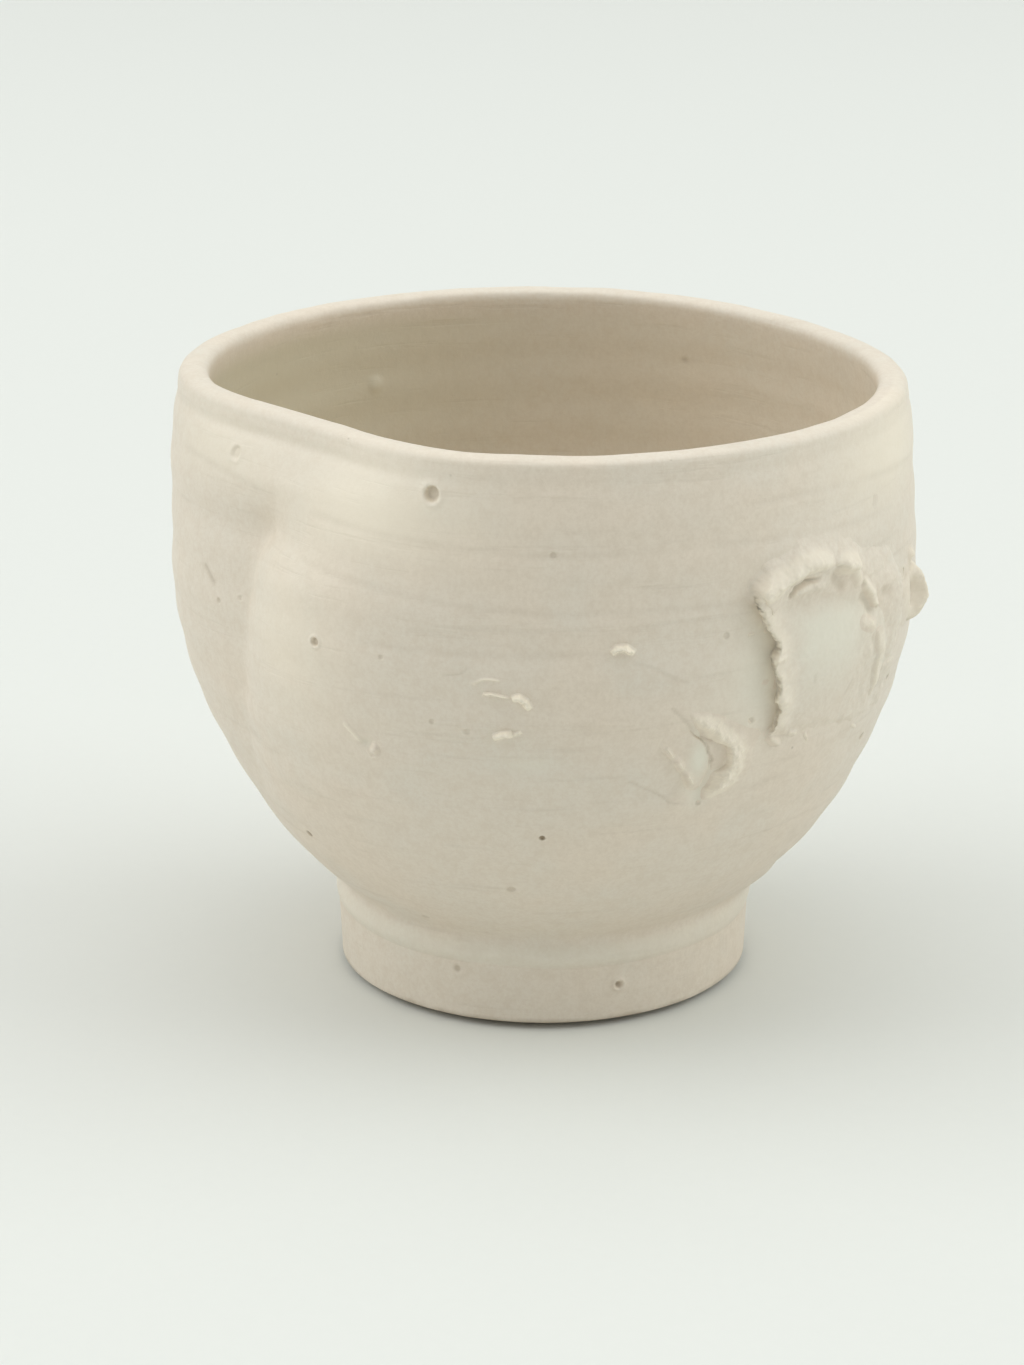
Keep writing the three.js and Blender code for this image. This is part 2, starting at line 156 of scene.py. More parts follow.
# Thumb press on the lip, and the crease that runs down and to the left below it
press = {
    "angle": -46, "spread": 25, "depth": 4.7, "reach": 18, "flatness": 2.5,
    "creaseReach": 56, "creaseStart": 6, "creaseEase": 6.5,
    "creaseDepth": 3.4, "creaseLeft": 13, "creaseRight": 10.5, "creaseFlatness": 1.15,
    "creaseLine": (
        (0, -45.5), (9.7, -50.0), (13.6, -53.2), (18.2, -54.7),
        (25.3, -55.9), (33, -58.9), (46, -62.5), (56, -64),
    ),
    "backAngle": 122, "backSpread": 34, "backDepth": 1.6, "backDrop": 0.3, "backReach": 12,
}
creaseLine = [tuple(point) for point in smoothLine(press["creaseLine"], 8)]


def pressedIn(angle, height):
    below = rimHeight - height
    push = press["depth"] * (1 - smoothStep(below, 0, press["reach"]))
    deepest = press["creaseStart"] + press["creaseEase"]
    opening = smoothStep(below, press["creaseStart"], deepest)
    closing = 1 - smoothStep(below, deepest, press["creaseReach"])
    off = angle - valueAt(creaseLine, below)
    spread = press["creaseLeft"] if off < 0 else press["creaseRight"]
    atBack = fallOff(angle - press["backAngle"], press["backSpread"])
    return (
        push * fallOff(angle - press["angle"], press["spread"], press["flatness"])
        + push * press["backDepth"] / press["depth"] * atBack
        + press["creaseDepth"] * opening * closing * fallOff(off, spread, press["creaseFlatness"])
    )


# Soft swells of the wall, and hollows that only the bowl has: place, half width and height, lift
wallSwells = {
    "besidePress": ((-18.5, 15.2), (8.5, 4), 0.45),
    "leftOfPress": ((-45, 17), (6, 4), 0.3),
    "leftShoulder": ((-62, 14), (13, 7), 0.4),
    "leftWaist": ((-62, -11), (14, 7), 0.25),
    "leftFlank": ((-60, -25), (18, 8), -0.6),
    "rightFlank": ((58, -28), (18, 6), 0.35),
    "rightRim": ((60, 17.5), (14, 3.4), 0.25),
    "rightShoulder": ((60, 8.5), (14, 7), -0.25),
    "rightWaist": ((60, -11), (12, 5.5), 0.1),
    "rightJoint": ((60, -33.8), (16, 1.7), 1.5),
    "leftJoint": ((-60, -31.4), (16, 2.6), -0.9),
    "overSlab": ((28.5, 9.6), (9, 3.4), 0.6),
    "underSlab": ((31, -12.4), (6, 2.4), 0.25),
    "besideFlake": ((22, -10.8), (2, 4.4), 0.35),
    "underFlake": ((15, -15.4), (4.5, 1.3), 0.2),
    "middleSwell": ((-4, -4.4), (4, 2.6), 0.16),
}
wallHollows = {
    "besideSlab": ((23.2, -1.6), (3.8, 7.2), -0.42),
    "flakeBed": ((17, -9.8), (2, 3.8), -0.6),
    "flakeShade": ((17.4, -14.6), (1.2, 1.4), -0.35),
    "lowerDimple": ((-1.6, -9.8), (3, 0.9), -0.25),
    "blisterPit": ((-19.1, -8.9), (0.75, 0.5), -0.35),
}
# Painted highlights: a paler glaze colour where light falls brighter and a soft sheen shows; place, half width
# and height, share
paintedHighlights = {
    "besidePress": ((-19, 15.5), (11, 5), 0.75),
    "besideCrease": ((-29, 1), (7, 10), 0.45),
    "leftLip": ((-44, 17), (10, 3.5), 0.5),
    "rightLip": ((46, 17), (12, 5), 0.7),
}


def swellAt(swells, arc, rise):
    lift = 0.0
    for (swellArc, swellRise), (halfWidth, halfHeight), height in swells.values():
        across, up = (arc - swellArc) / halfWidth, (rise - swellRise) / halfHeight
        if abs(across) < 3 and abs(up) < 3:
            lift += height * math.exp(-across * across - up * up)
    return lift


# Place at an angle to the right of the front
def turned(angle, radius, height):
    return Vector((radius * math.sin(angle), -radius * math.cos(angle), height))


def onWall(arc, rise, lift):
    angle = arc / bellyRadius
    height = bellyHeight + rise
    radius = roundRadius(height) - pressedIn(math.degrees(angle), height)
    radius += swellAt(wallSwells, arc, rise)
    return turned(angle, radius + lift, height)


def onRoundWall(arc, rise):
    height = bellyHeight + rise
    return turned(arc / bellyRadius, roundRadius(height), height)


# Mesh tools
def spinLine(line, steps, closed=False):
    bm = bmesh.new()
    verts = [bm.verts.new((point[0], 0, point[1])) for point in line]
    pairs = list(zip(verts, verts[1:] + verts[:1])) if closed else list(zip(verts, verts[1:]))
    edges = [bm.edges.new(pair) for pair in pairs]
    bmesh.ops.spin(
        bm, geom=verts + edges, cent=(0, 0, 0), axis=(0, 0, 1), angle=math.tau, steps=steps, use_merge=True
    )
    bmesh.ops.remove_doubles(bm, verts=bm.verts[:], dist=weld)
    bmesh.ops.recalc_face_normals(bm, faces=bm.faces[:])
    return bm


def placeTree(places):
    tree = KDTree(len(places))
    for index, place in enumerate(places):
        tree.insert(place, index)
    tree.balance()
    return tree


# Cuts the faces near each place into four, so that small holes and cracks have something to bend
def refineNear(bm, tree, reaches):
    for reach in reaches:
        edges = [edge for edge in bm.edges if tree.find((edge.verts[0].co + edge.verts[1].co) / 2)[2] < reach]
        bmesh.ops.subdivide_edges(bm, edges=edges, cuts=1, use_grid_fill=True)


def linkObject(name, data):
    made = bpy.data.objects.new(name, data)
    bpy.context.scene.collection.objects.link(made)
    return made


def linkMesh(name, bm, material):
    mesh = bpy.data.meshes.new(name)
    bm.to_mesh(mesh)
    bm.free()
    mesh.materials.append(material)
    return linkObject(name, mesh)


def newMarks(bm, *names):
    return [bm.verts.layers.float.new(name) for name in names]


def finishPiece(bm, name, node, slotName):
    bmesh.ops.remove_doubles(bm, verts=bm.verts[:], dist=weld)
    bmesh.ops.recalc_face_normals(bm, faces=bm.faces[:])
    bmesh.ops.scale(bm, vec=(mm, mm, mm), verts=bm.verts[:])
    for face in bm.faces:
        face.smooth = True
    piece = linkMesh(name, bm, materials[slotName])
    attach(piece, "root")
    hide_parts(node)
    print(name, "done,", len(piece.data.polygons), "faces")
    return piece


# Glaze: matt, off-white, uneven, with marks that each mesh carries as its own attributes
def addNode(tree, kind, inputs=None, **settings):
    made = tree.nodes.new(kind)
    for key, value in settings.items():
        setattr(made, key, value)
    for key, value in (inputs or {}).items():
        if isinstance(value, bpy.types.NodeSocket):
            tree.links.new(value, made.inputs[key])
        else:
            made.inputs[key].default_value = value
    return made


def newMaterial(name):
    material = bpy.data.materials.new(name)
    material.use_nodes = True
    tree = material.node_tree
    place = addNode(tree, "ShaderNodeTexCoord").outputs["Object"]
    return material, tree, tree.nodes["Principled BSDF"], place


def mathNode(tree, operation, first, second=0.0):
    return addNode(tree, "ShaderNodeMath", {0: first, 1: second}, operation=operation).outputs[0]


def mixNode(tree, share, first, second):
    inputs = {0: share, 6: first, 7: second}
    return addNode(tree, "ShaderNodeMix", inputs, data_type="RGBA").outputs[2]


def noiseNode(tree, place, size, detail, roughness=0.5):
    inputs = {"Vector": place, "Scale": 1 / (size * mm), "Detail": detail, "Roughness": roughness}
    return addNode(tree, "ShaderNodeTexNoise", inputs).outputs["Fac"]


def rampNode(tree, value, low, high, top=1.0):
    inputs = {"Value": value, "From Min": low, "From Max": high, "To Max": top}
    return addNode(tree, "ShaderNodeMapRange", inputs, interpolation_type="SMOOTHSTEP").outputs["Result"]


def markNode(tree, name):
    return addNode(tree, "ShaderNodeAttribute", attribute_name=name).outputs["Fac"]


glazeColours = {
    "base": (0.798, 0.717, 0.607, 1), "warm": (0.813, 0.712, 0.591, 1), "cool": (0.777, 0.717, 0.617, 1),
    "grain": (0.705, 0.600, 0.480, 1), "thinAndHighlight": (0.940, 0.850, 0.700, 1), "pool": (0.835, 0.800, 0.680, 1),
    # inside: painted shade of the cup's interior
    "inside": (0.592, 0.538, 0.395, 1),
    "stainAndShade": (0.330, 0.255, 0.165, 1), "speck": (0.300, 0.240, 0.160, 1),
}
# Unevenness of the glaze: size, detail and roughness of the noise, its low and high end, share, colour
glazeDrifts = {
    "warm": (15, 3, 0.5, 0.40, 0.68, 1.0, "warm"),
    "cool": (10, 2, 0.5, 0.50, 0.74, 0.6, "cool"),
    "grain": (0.45, 4, 0.75, 0.36, 0.70, 0.45, "grain"),
    "blotch": (1.5, 3, 0.65, 0.42, 0.70, 0.34, "grain"),
}
glazes = {
    "bowl_glaze": {"roughness": 0.46, "streaks": 0.09},
    "foot_glaze": {"roughness": 0.56, "streaks": 0.03},
    "slab_glaze": {"roughness": 0.54, "streaks": 0.0},
    "scrap_glaze": {"roughness": 0.60, "streaks": 0.0},
}


def makeGlaze(slotName):
    look = glazes[slotName]
    colours = glazeColours
    material, tree, shader, place = newMaterial(slotName)
    # broad drifts of thicker and thinner glaze, then a fine sandy grain
    colour, drifts = colours["base"], {}
    for name, (size, detail, roughness, low, high, share, tint) in glazeDrifts.items():
        drifts[name] = noiseNode(tree, place, size, detail, roughness)
        colour = mixNode(tree, rampNode(tree, drifts[name], low, high, share), colour, colours[tint])
    # streaks that run round with the throwing: noise drawn out level
    level = addNode(tree, "ShaderNodeMapping", {"Vector": place, "Scale": (0.07, 0.07, 1.0)})
    streak = rampNode(tree, noiseNode(tree, level.outputs["Vector"], 1.1, 3, 0.6), 0.56, 0.74)
    colour = mixNode(tree, mathNode(tree, "MULTIPLY", streak, look["streaks"]), colour, colours["stainAndShade"])
    # glaze thin on the edges, with painted highlights, pooled in hollows, and painted shade inside the cup;
    # then specks, and stains in pits, with painted shade in crevices, slits and under the foot
    for mark in ("inside", "thinAndHighlight", "pool"):
        colour = mixNode(tree, markNode(tree, mark), colour, colours[mark])
    cells = addNode(tree, "ShaderNodeTexVoronoi", {"Vector": place, "Scale": 1 / (4.2 * mm)})
    pick = addNode(tree, "ShaderNodeSeparateColor", {"Color": cells.outputs["Color"]}).outputs[0]
    dot = rampNode(tree, cells.outputs["Distance"], 0.060, 0.020)
    dot = mathNode(tree, "MULTIPLY", dot, rampNode(tree, pick, 0.72, 0.95, 0.45))
    colour = mixNode(tree, dot, colour, colours["speck"])
    colour = mixNode(tree, markNode(tree, "stainAndShade"), colour, colours["stainAndShade"])
    tree.links.new(colour, shader.inputs["Base Color"])
    # satin where the glaze is thick, dry where it is thin
    rough = addNode(tree, "ShaderNodeMapRange", {"Value": noiseNode(tree, place, 3, 2)})
    rough.inputs["To Min"].default_value = look["roughness"] - 0.08
    rough.inputs["To Max"].default_value = look["roughness"] + 0.10
    tree.links.new(rough.outputs["Result"], shader.inputs["Roughness"])
    shader.inputs["Specular IOR Level"].default_value = 0.5
    bumps = mathNode(tree, "MULTIPLY", drifts["grain"], 0.4)
    bumps = mathNode(tree, "ADD", bumps, noiseNode(tree, place, 1.6, 3, 0.6))
    bumps = mathNode(tree, "SUBTRACT", bumps, mathNode(tree, "MULTIPLY", streak, 0.5))
    bump = addNode(tree, "ShaderNodeBump", {"Height": bumps, "Strength": 0.4, "Distance": 0.12 * mm})
    tree.links.new(bump.outputs["Normal"], shader.inputs["Normal"])
    return material


materials = {slotName: makeGlaze(slotName) for slotName in glazes}
print("glazes done")


# Marks on the wall: place, radius, depth, raised rim, stain
pinholes = {
    "largeHole": ((-11.5, 17.6), 0.86, 0.6, 0.14, 0.18),
    "lipSideHole": ((-41.6, 16.7), 0.75, 0.16, 0.08, 0.04),
    "leftHole": ((-24.5, 1.1), 0.5, 0.3, 0.1, 0.28),
    "lowSpeck": ((-0.1, -18.6), 0.36, 0.25, 0.04, 0.85),
    "leftSpeck": ((-34.3, -23.7), 0.5, 0.25, 0.05, 0.8),
    "rimSpeck": ((12.9, 21.1), 0.26, 0.1, 0.02, 0.9),
    "pressSpeck": ((-23.7, 21.1), 0.28, 0.1, 0.02, 0.7),
    "frontPit": ((0.9, 12.3), 0.42, 0.12, 0.03, 0.22),
    "rightPit": ((18.7, 2.9), 0.42, 0.1, 0.03, 0.2),
    "middlePit": ((-7.7, -6.1), 0.42, 0.1, 0.02, 0.14),
    "smallPit": ((-11.3, -5.3), 0.34, 0.08, 0.02, 0.14),
    "leftPit": ((-16.5, 0.9), 0.3, 0.08, 0.02, 0.16),
    "baseSpeck": ((-4.1, -25.9), 0.55, 0.1, 0.03, 0.22),
    "baseLeftSpeck": ((-20.8, -32.9), 0.55, 0.1, 0.02, 0.2),
    "slabPit": ((22.4, -6.8), 0.45, 0.12, 0.03, 0.22),
    "flakePit": ((17.6, -15.6), 0.34, 0.1, 0.03, 0.22),
    "outlinePit": ((47.6, -8.4), 0.45, 0.25, 0.05, 0.5),
    "besideLumpPit": ((48.1, 2.9), 0.6, 0.3, 0.06, 0.45),
    "lowOutlinePit": ((44.6, -14.4), 0.45, 0.25, 0.05, 0.5),
    "creaseDot": ((-43.1, 0.8), 0.38, 0.08, 0.02, 0.24),
    "creaseSpeck": ((-39.7, 1.8), 0.34, 0.06, 0.02, 0.14),
    "backUpperPit": ((117, 9.6), 0.45, 0.14, 0.04, 0.24),
    "backMiddlePit": ((-101, -7.4), 0.4, 0.12, 0.03, 0.2),
    "backLowPit": ((98, -19.5), 0.45, 0.14, 0.04, 0.6),
    "rightSidePit": ((74, 4.2), 0.4, 0.1, 0.03, 0.2),
    "leftSidePit": ((-76, 10.8), 0.42, 0.12, 0.03, 0.22),
}
# Scratches and threads of glaze: places along it, width, depth, stain; in flakeSlit the stain is painted shade
# in the slit
cracks = {
    "flakeCrack": (((9.2, -12), (11.2, -13.1), (13, -14.1), (13.9, -14.9), (15.6, -15.4)), 0.26, 0.1, 0.16),
    "flakeSlit": (((13.1, -4.1), (13.9, -4.9), (15.1, -6.2), (15.6, -7)), 0.34, 0.08, 0.22),
    "creaseMark": (((-45.7, 3.9), (-45, 3.3), (-44.2, 2.6)), 0.55, 0.08, 0.36),
    "blisterRidge": (((-21.4, -7.2), (-20.7, -7.9), (-19.9, -8.7)), 0.42, -0.2, 0),
    "upperThread": (((-6.9, -0.9), (-5.8, -0.3), (-4.5, -0.4)), 0.22, -0.18, 0),
    "sliverTail": (((9, 1.1), (11, 0.4), (12.8, -0.7), (14.4, -1.4)), 0.4, 0.06, 0.1),
    "frontThread": (((-9.8, -0.2), (-8.3, 0), (-7.5, 0.7)), 0.2, 0.05, 0.12),
}
grooves = {
    "topLine": ((-27, 13.2), (-12, 12.7), (0.6, 12.1), (18.5, 12.2), (44, 10.9)),
    "upperLine": ((-27.3, 8.6), (-12.2, 7.2), (-0.3, 6.4), (10.5, 6.3), (20.5, 6)),
    "middleLine": ((-18.7, 2.1), (-6.2, 2), (5.5, 2.3)),
    "rimLine": ((21.6, 15.8), (32.4, 15.6), (52, 14.2)),
    "fingerLine": ((-52, 15.2), (-44, 14.6), (-35, 13.6)),
}
# Marks inside: angle, height, radius, lift, stain
insideMarks = {
    "fleck": (-147.7, 56.9, 0.95, 0.25, 0),
    "speck": (153.2, 59.6, 0.55, -0.1, 0.45),
}
throwing = {
    "pitch": 5.4, "slope": 0.02, "depth": 0.06, "warp": 0.6, "unevenness": 0.14, "lipWander": 0.16,
    "warpSize": 30, "turnStart": (2, 7), "unevenSize": 17, "unevenStart": (0.5, 8), "lipWanderReach": 9,
    "grooveWidth": 0.42, "grooveDepth": 0.10, "grooveStain": 0.12,
    "lipGroove": 2.5, "lipGrooveWidth": 0.7, "lipGrooveDepth": 0.30,
    # painted shade inside the cup: its share by x, darkest on the left; it starts below the lip and eases off
    # lower down
    "insideShadeShare": ((-30, 0.86), (-14, 0.62), (0, 0.30), (14, 0.26), (28, 0.14)),
    "insideStart": (0.9, 4), "insideFade": 0.5, "insideFadeReach": (12, 24),
}


# Where the glazed wall runs down over the foot's shoulder: radius and height, from inside the foot upwards
skirt = {
    "line": ((22.30, 6.60), (22.75, 7.60), (22.92, 8.50), (22.78, 9.50), (22.72, 10.20), (23.15, 11.10)),
    "wallStart": 2.6, "steps": 4, "bandHeight": 8.5, "bandSpread": 1.3, "bandPool": 0.35,
    "sunk": 0.25, "inset": 2,
}


# Line of the bowl's section, from the middle of its underside round to the middle of its floor
def bowlLine():
    fullness = bowl["lipFullness"]
    wall = [point for point in outerWall if point.y > seatHeight + skirt["wallStart"]]
    joint = smoothLine(skirt["line"] + (tuple(wall[0]),), skirt["steps"])[:-1]
    base = footHeight - skirt["sunk"]
    reach = joint[0].x - skirt["inset"]
    under = [Vector((reach * step / bowl["floorSteps"], base)) for step in range(bowl["floorSteps"] + 1)]
    crest = Vector((bowl["lipRadius"], rimHeight))
    lipInside = crest - Vector((bowl["lipInnerWidth"], bowl["lipInnerDrop"]))
    outerCorner, innerCorner = Vector((lipFoot.x, rimHeight)), Vector((lipInside.x, rimHeight))
    lipRoll, lipTurn = (
        curvePoints(
            (start, end), (start.lerp(corner, fullness), end.lerp(corner, fullness)), bowl["lipSteps"]
        )
        for start, end, corner in ((lipFoot, crest, outerCorner), (crest, lipInside, innerCorner))
    )
    insideBelly = Vector((bellyRadius - bowl["wall"], bellyHeight))
    floorHeight = seatHeight + bowl["floor"]
    insideUpper = curvePoints(
        (lipInside, insideBelly),
        (
            lipInside + bowl["rimPull"] * Vector((math.sin(lean), -1)),
            insideBelly + Vector((0, bowl["rimPull"])),
        ),
        bowl["insideSteps"],
    )
    insideLower = curvePoints(
        (insideBelly, Vector((0, floorHeight))),
        (
            Vector((insideBelly.x, mixed(bellyHeight, floorHeight, bowl["insideFullness"]))),
            Vector((bowl["insideFullness"] * insideBelly.x, floorHeight)),
        ),
        2 * bowl["insideSteps"],
    )
    return under + joint + wall + lipRoll[1:] + lipTurn[1:] + insideUpper[1:] + insideLower[1:]


def thrownBowl():
    bm = spinLine(bowlLine(), bowl["turnSteps"])
    holes = list(pinholes.values())
    holeTree = placeTree([onRoundWall(*hole[0]) for hole in holes])
    refineNear(bm, holeTree, bowl["holeReaches"])
    crackOf, crackPlaces = [], []
    for points, *sizes in cracks.values():
        for point in smoothLine(points, 12):
            crackOf.append(sizes)
            crackPlaces.append(onRoundWall(point.x, point.y))
    crackTree = placeTree(crackPlaces)
    refineNear(bm, crackTree, bowl["crackReaches"])
    grooveLines = [smoothLine(line, 60) for line in grooves.values()]
    grooveTree = placeTree([onRoundWall(*point) for line in grooveLines for point in line])

    flecks = list(insideMarks.values())
    innerRadius = bellyRadius - bowl["wall"]
    turns = [math.radians(fleck[0]) for fleck in flecks]
    fleckTree = placeTree([turned(turn, innerRadius, fleck[1]) for turn, fleck in zip(turns, flecks)])
    refineNear(bm, fleckTree, bowl["fleckReaches"])

    bm.normal_update()
    thinAndHighlight, pool, stainAndShade, inside = newMarks(bm, "thinAndHighlight", "pool", "stainAndShade", "inside")
    moves = {}
    for vert in bm.verts:
        radius = math.hypot(vert.co.x, vert.co.y)
        if radius < weld:
            continue
        outward = Vector((vert.co.x, vert.co.y, 0)) / radius
        arc = math.atan2(vert.co.x, -vert.co.y) * bellyRadius
        rise = vert.co.z - bellyHeight
        below = rimHeight - vert.co.z
        facing = vert.normal.dot(outward)
        outside = smoothStep(facing, 0.0, 0.35)
        move = -pressedIn(math.degrees(arc / bellyRadius), vert.co.z)
        # soft turns left by the fingers, and slow unevenness
        warp = throwing["warp"] * lumpy(vert.co, throwing["warpSize"], 2, 1)
        turn = (rise + throwing["slope"] * arc + warp) / throwing["pitch"]
        move += throwing["depth"] * math.cos(math.tau * turn) * smoothStep(below, *throwing["turnStart"])
        uneven = throwing["unevenness"] * lumpy(vert.co, throwing["unevenSize"], 4, 3)
        move += uneven * smoothStep(below, *throwing["unevenStart"])
        drop = throwing["lipWander"] * (1 - smoothStep(below, 0, throwing["lipWanderReach"]))
        drop *= lumpy(vert.co, 16, 6, 2) + 0.35 * lumpy(vert.co, 3.5, 7, 2)
        backShare = fallOff(math.degrees(arc / bellyRadius) - press["backAngle"], press["backSpread"])
        drop -= press["backDrop"] * backShare * (1 - smoothStep(below, 0, press["backReach"]))
        # painted shade inside the cup: darker colour, most on the left, from below the lip and easing off
        # lower down
        if facing < 0:
            vert[inside] = valueAt(throwing["insideShadeShare"], vert.co.x)
            fade = 1 - throwing["insideFade"] * smoothStep(below, *throwing["insideFadeReach"])
            vert[inside] *= smoothStep(below, *throwing["insideStart"]) * fade
            index, away = fleckTree.find(vert.co)[1:]
            fleckRadius, lift, dark = flecks[index][2:]
            share = fallOff(away, fleckRadius, 3) if away < 2 * fleckRadius else 0.0
            move -= lift * share
            vert[stainAndShade] = dark * share
        if outside > 0:
            hollow = swellAt(wallHollows, arc, rise)
            move += outside * (swellAt(wallSwells, arc, rise) + hollow)
            skirtShare = fallOff(vert.co.z - skirt["bandHeight"], skirt["bandSpread"], 4)
            vert[pool] = clamp(-bowl["hollowPool"] * hollow) + skirt["bandPool"] * skirtShare
            # painted highlights: a paler colour where light falls brighter
            vert[thinAndHighlight] = swellAt(paintedHighlights, arc, rise)
            # groove under the lip, strongest on the left
            side = 0.35 + 0.65 * fallOff(arc + 38, 20, 4)
            atGroove = fallOff(below - throwing["lipGroove"], throwing["lipGrooveWidth"])
            move -= throwing["lipGrooveDepth"] * side * atGroove
            away = grooveTree.find(vert.co)[2]
            share = fallOff(away, throwing["grooveWidth"]) * (0.6 + 0.4 * lumpy(vert.co, 5, 8, 2))
            move -= throwing["grooveDepth"] * share
            vert[stainAndShade] = throwing["grooveStain"] * share
            index, away = holeTree.find(vert.co)[1:]
            holeRadius, depth, rim, dark = holes[index][1:]
            if away < 3 * holeRadius:
                move -= depth * (1 - smoothStep(away / holeRadius, 0.55, 1.0))
                move += rim * fallOff(away - 1.25 * holeRadius, 0.35 * holeRadius)
                vert[stainAndShade] = max(vert[stainAndShade], dark * (1 - smoothStep(away / holeRadius, 0.6, 1.0)))
                vert[thinAndHighlight] = max(vert[thinAndHighlight], 2 * rim * fallOff(away - 1.3 * holeRadius, 0.4 * holeRadius))
            index, away = crackTree.find(vert.co)[1:]
            crackWidth, depth, dark = crackOf[index]
            if away < 3 * crackWidth:
                share = fallOff(away, 0.6 * crackWidth)
                move -= depth * share
                vert[stainAndShade] = max(vert[stainAndShade], dark * share)
                vert[thinAndHighlight] = max(vert[thinAndHighlight], clamp(-4 * depth * share))
        moves[vert] = vert.co + move * outward + Vector((0, 0, drop))
    for vert, place in moves.items():
        vert.co = place
    return finishPiece(bm, "ThrownBowl", "thrown_bowl", "bowl_glaze")


# Ring that the bowl stands on: glazed, with the bevel underneath painted dark as contact shade
foot = {
    "topRadius": 22.7, "restRadius": 22.4, "width": 5.6,
    "edgeWidth": 3.6, "edgeHeight": 1.0, "edgeRound": 0.3, "edgeFullness": 0.6,
    "shoulderRound": 1.7, "innerRound": 0.8, "turnSteps": 224, "faceSteps": 18, "roundSteps": 8,
    # the last two: height and strength of the painted contact shade on the bevel underneath
    "pitReaches": (1.8, 1.3, 0.9), "unevenness": 0.10, "contactShadeHeight": 1.35, "contactShade": 0.95,
}
footPits = {
    "rightPit": ((14.6, 4.7), 0.50, 0.35, 0.16, 0.6),
    "leftPit": ((-16.5, 6.3), 0.60, 0.12, 0.04, 0.4),
}


def footRing():
    hole = foot["restRadius"] - foot["width"]
    rest, top = foot["restRadius"], foot["topRadius"]
    edge, rise = foot["edgeWidth"], foot["edgeHeight"]
    shoulder, inner = foot["shoulderRound"], foot["innerRound"]
    topCorner = Vector((top, footHeight))
    # bevelled underneath, so that only the inner part of the ring rests on the table
    bevelEnd = Vector((rest - foot["edgeRound"], rise - foot["edgeRound"]))
    bevelled = Vector((rest - edge, 0)).lerp(bevelEnd, 0.5)
    edgePull = Vector((rest, rise - foot["edgeRound"] / 2))
    lowRound = [Vector((rest - edge, 0)), bevelled] + curvePoints(
        (bevelEnd, (rest, rise)),
        (bevelEnd.lerp(edgePull, foot["edgeFullness"]), edgePull),
        foot["roundSteps"],
    )
    highRound = curvePoints(
        ((top, footHeight - shoulder), (top - shoulder, footHeight)),
        (topCorner - Vector((0, shoulder / 3)), topCorner - Vector((shoulder / 3, 0))),
        foot["roundSteps"],
    )
    face = [lowRound[-1].lerp(highRound[0], step / foot["faceSteps"]) for step in range(1, foot["faceSteps"])]
    inside = [
        (hole, footHeight), (hole, footHeight / 2), (hole, inner),
        (hole + 0.3 * inner, 0.3 * inner), (hole + inner, 0),
    ]
    line = lowRound + face + highRound + [Vector(point) for point in inside]
    bm = spinLine(line, foot["turnSteps"], closed=True)
    pits = list(footPits.values())
    tree = placeTree([turned(pit[0][0] / bellyRadius, top, pit[0][1]) for pit in pits])
    refineNear(bm, tree, foot["pitReaches"])
    thinAndHighlight, _, stainAndShade = newMarks(bm, "thinAndHighlight", "pool", "stainAndShade")
    for vert in bm.verts:
        radius = math.hypot(vert.co.x, vert.co.y)
        outward = Vector((vert.co.x, vert.co.y, 0)) / radius
        move = foot["unevenness"] * lumpy(vert.co, 11, 9, 3) * smoothStep(vert.co.z, 0.2, 1.6)
        # painted contact shade: the underside is darkened up to a ragged height
        ragged = vert.co.z + 0.3 * lumpy(vert.co, 3, 12, 2)
        vert[stainAndShade] = foot["contactShade"] * (1 - smoothStep(ragged, 0.2, foot["contactShadeHeight"]))
        index, away = tree.find(vert.co)[1:]
        pitRadius, depth, rim, dark = pits[index][1:]
        if away < 3 * pitRadius:
            move -= depth * (1 - smoothStep(away / pitRadius, 0.4, 1.0))
            move += rim * fallOff(away - 1.3 * pitRadius, 0.4 * pitRadius)
            vert[stainAndShade] = max(vert[stainAndShade], dark * (1 - smoothStep(away / pitRadius, 0.3, 0.9)))
        vert[thinAndHighlight] = 0.25 * fallOff(vert.co.z - footHeight + 0.9, 0.7) if radius > hole + 2 else 0.0
        vert.co += move * outward
    return finishPiece(bm, "FootRing", "foot_ring", "foot_glaze")


# Torn clay is modelled as relief: strokes along a few places add or take away height. A stroke may be
# wider on its left side, as seen along its points, and may fade towards its ends.
strokeReach = 2.2


def clay(points, width, lift, leftWidth=None, stainAndShade=0.0, power=2, taper=False):
    return {
        "points": points, "widths": (width, leftWidth or width), "lift": lift,
        "stainAndShade": stainAndShade, "power": power, "taper": taper,
    }


# Share of a stroke's height at a place
def strokeShare(stroke, arc, rise):
    points, widths, power = stroke["points"], stroke["widths"], stroke["power"]
    reach = strokeReach * max(widths)
    for axis, value in enumerate((arc, rise)):
        along = [point[axis] for point in points]
        if not min(along) - reach < value < max(along) + reach:
            return 0.0
    place = Vector((arc, rise))
    if len(points) == 1:
        return fallOff((place - Vector(points[0])).length, widths[0], power)
    spans = len(points) - 1
    nearest, share, isLeft = 1e9, 0.5, False
    for index in range(spans):
        start, end = Vector(points[index]), Vector(points[index + 1])
        span, off = end - start, place - start
        part = clamp(off.dot(span) / span.length_squared)
        away = (off - part * span).length
        if away < nearest:
            nearest, share, isLeft = away, (index + part) / spans, span.x * off.y > span.y * off.x
    taper = min(1.0, 5 * share * (1 - share)) ** 0.5 if stroke["taper"] else 1.0
    return taper * fallOff(nearest, widths[isLeft], power)


def strokesAt(strokes, arc, rise):
    lift, stainAndShade = 0.0, 0.0
    for stroke in strokes.values():
        share = strokeShare(stroke, arc, rise)
        lift += stroke["lift"] * share
        stainAndShade = max(stainAndShade, stroke["stainAndShade"] * share)
    return lift, stainAndShade


relief = {"buried": 0.12, "sunk": 0.55, "thinAndHighlight": 2.6, "pool": 1.2, "flat": 0.03, "most": 0.7, "overhangThinAndHighlight": 0.6}


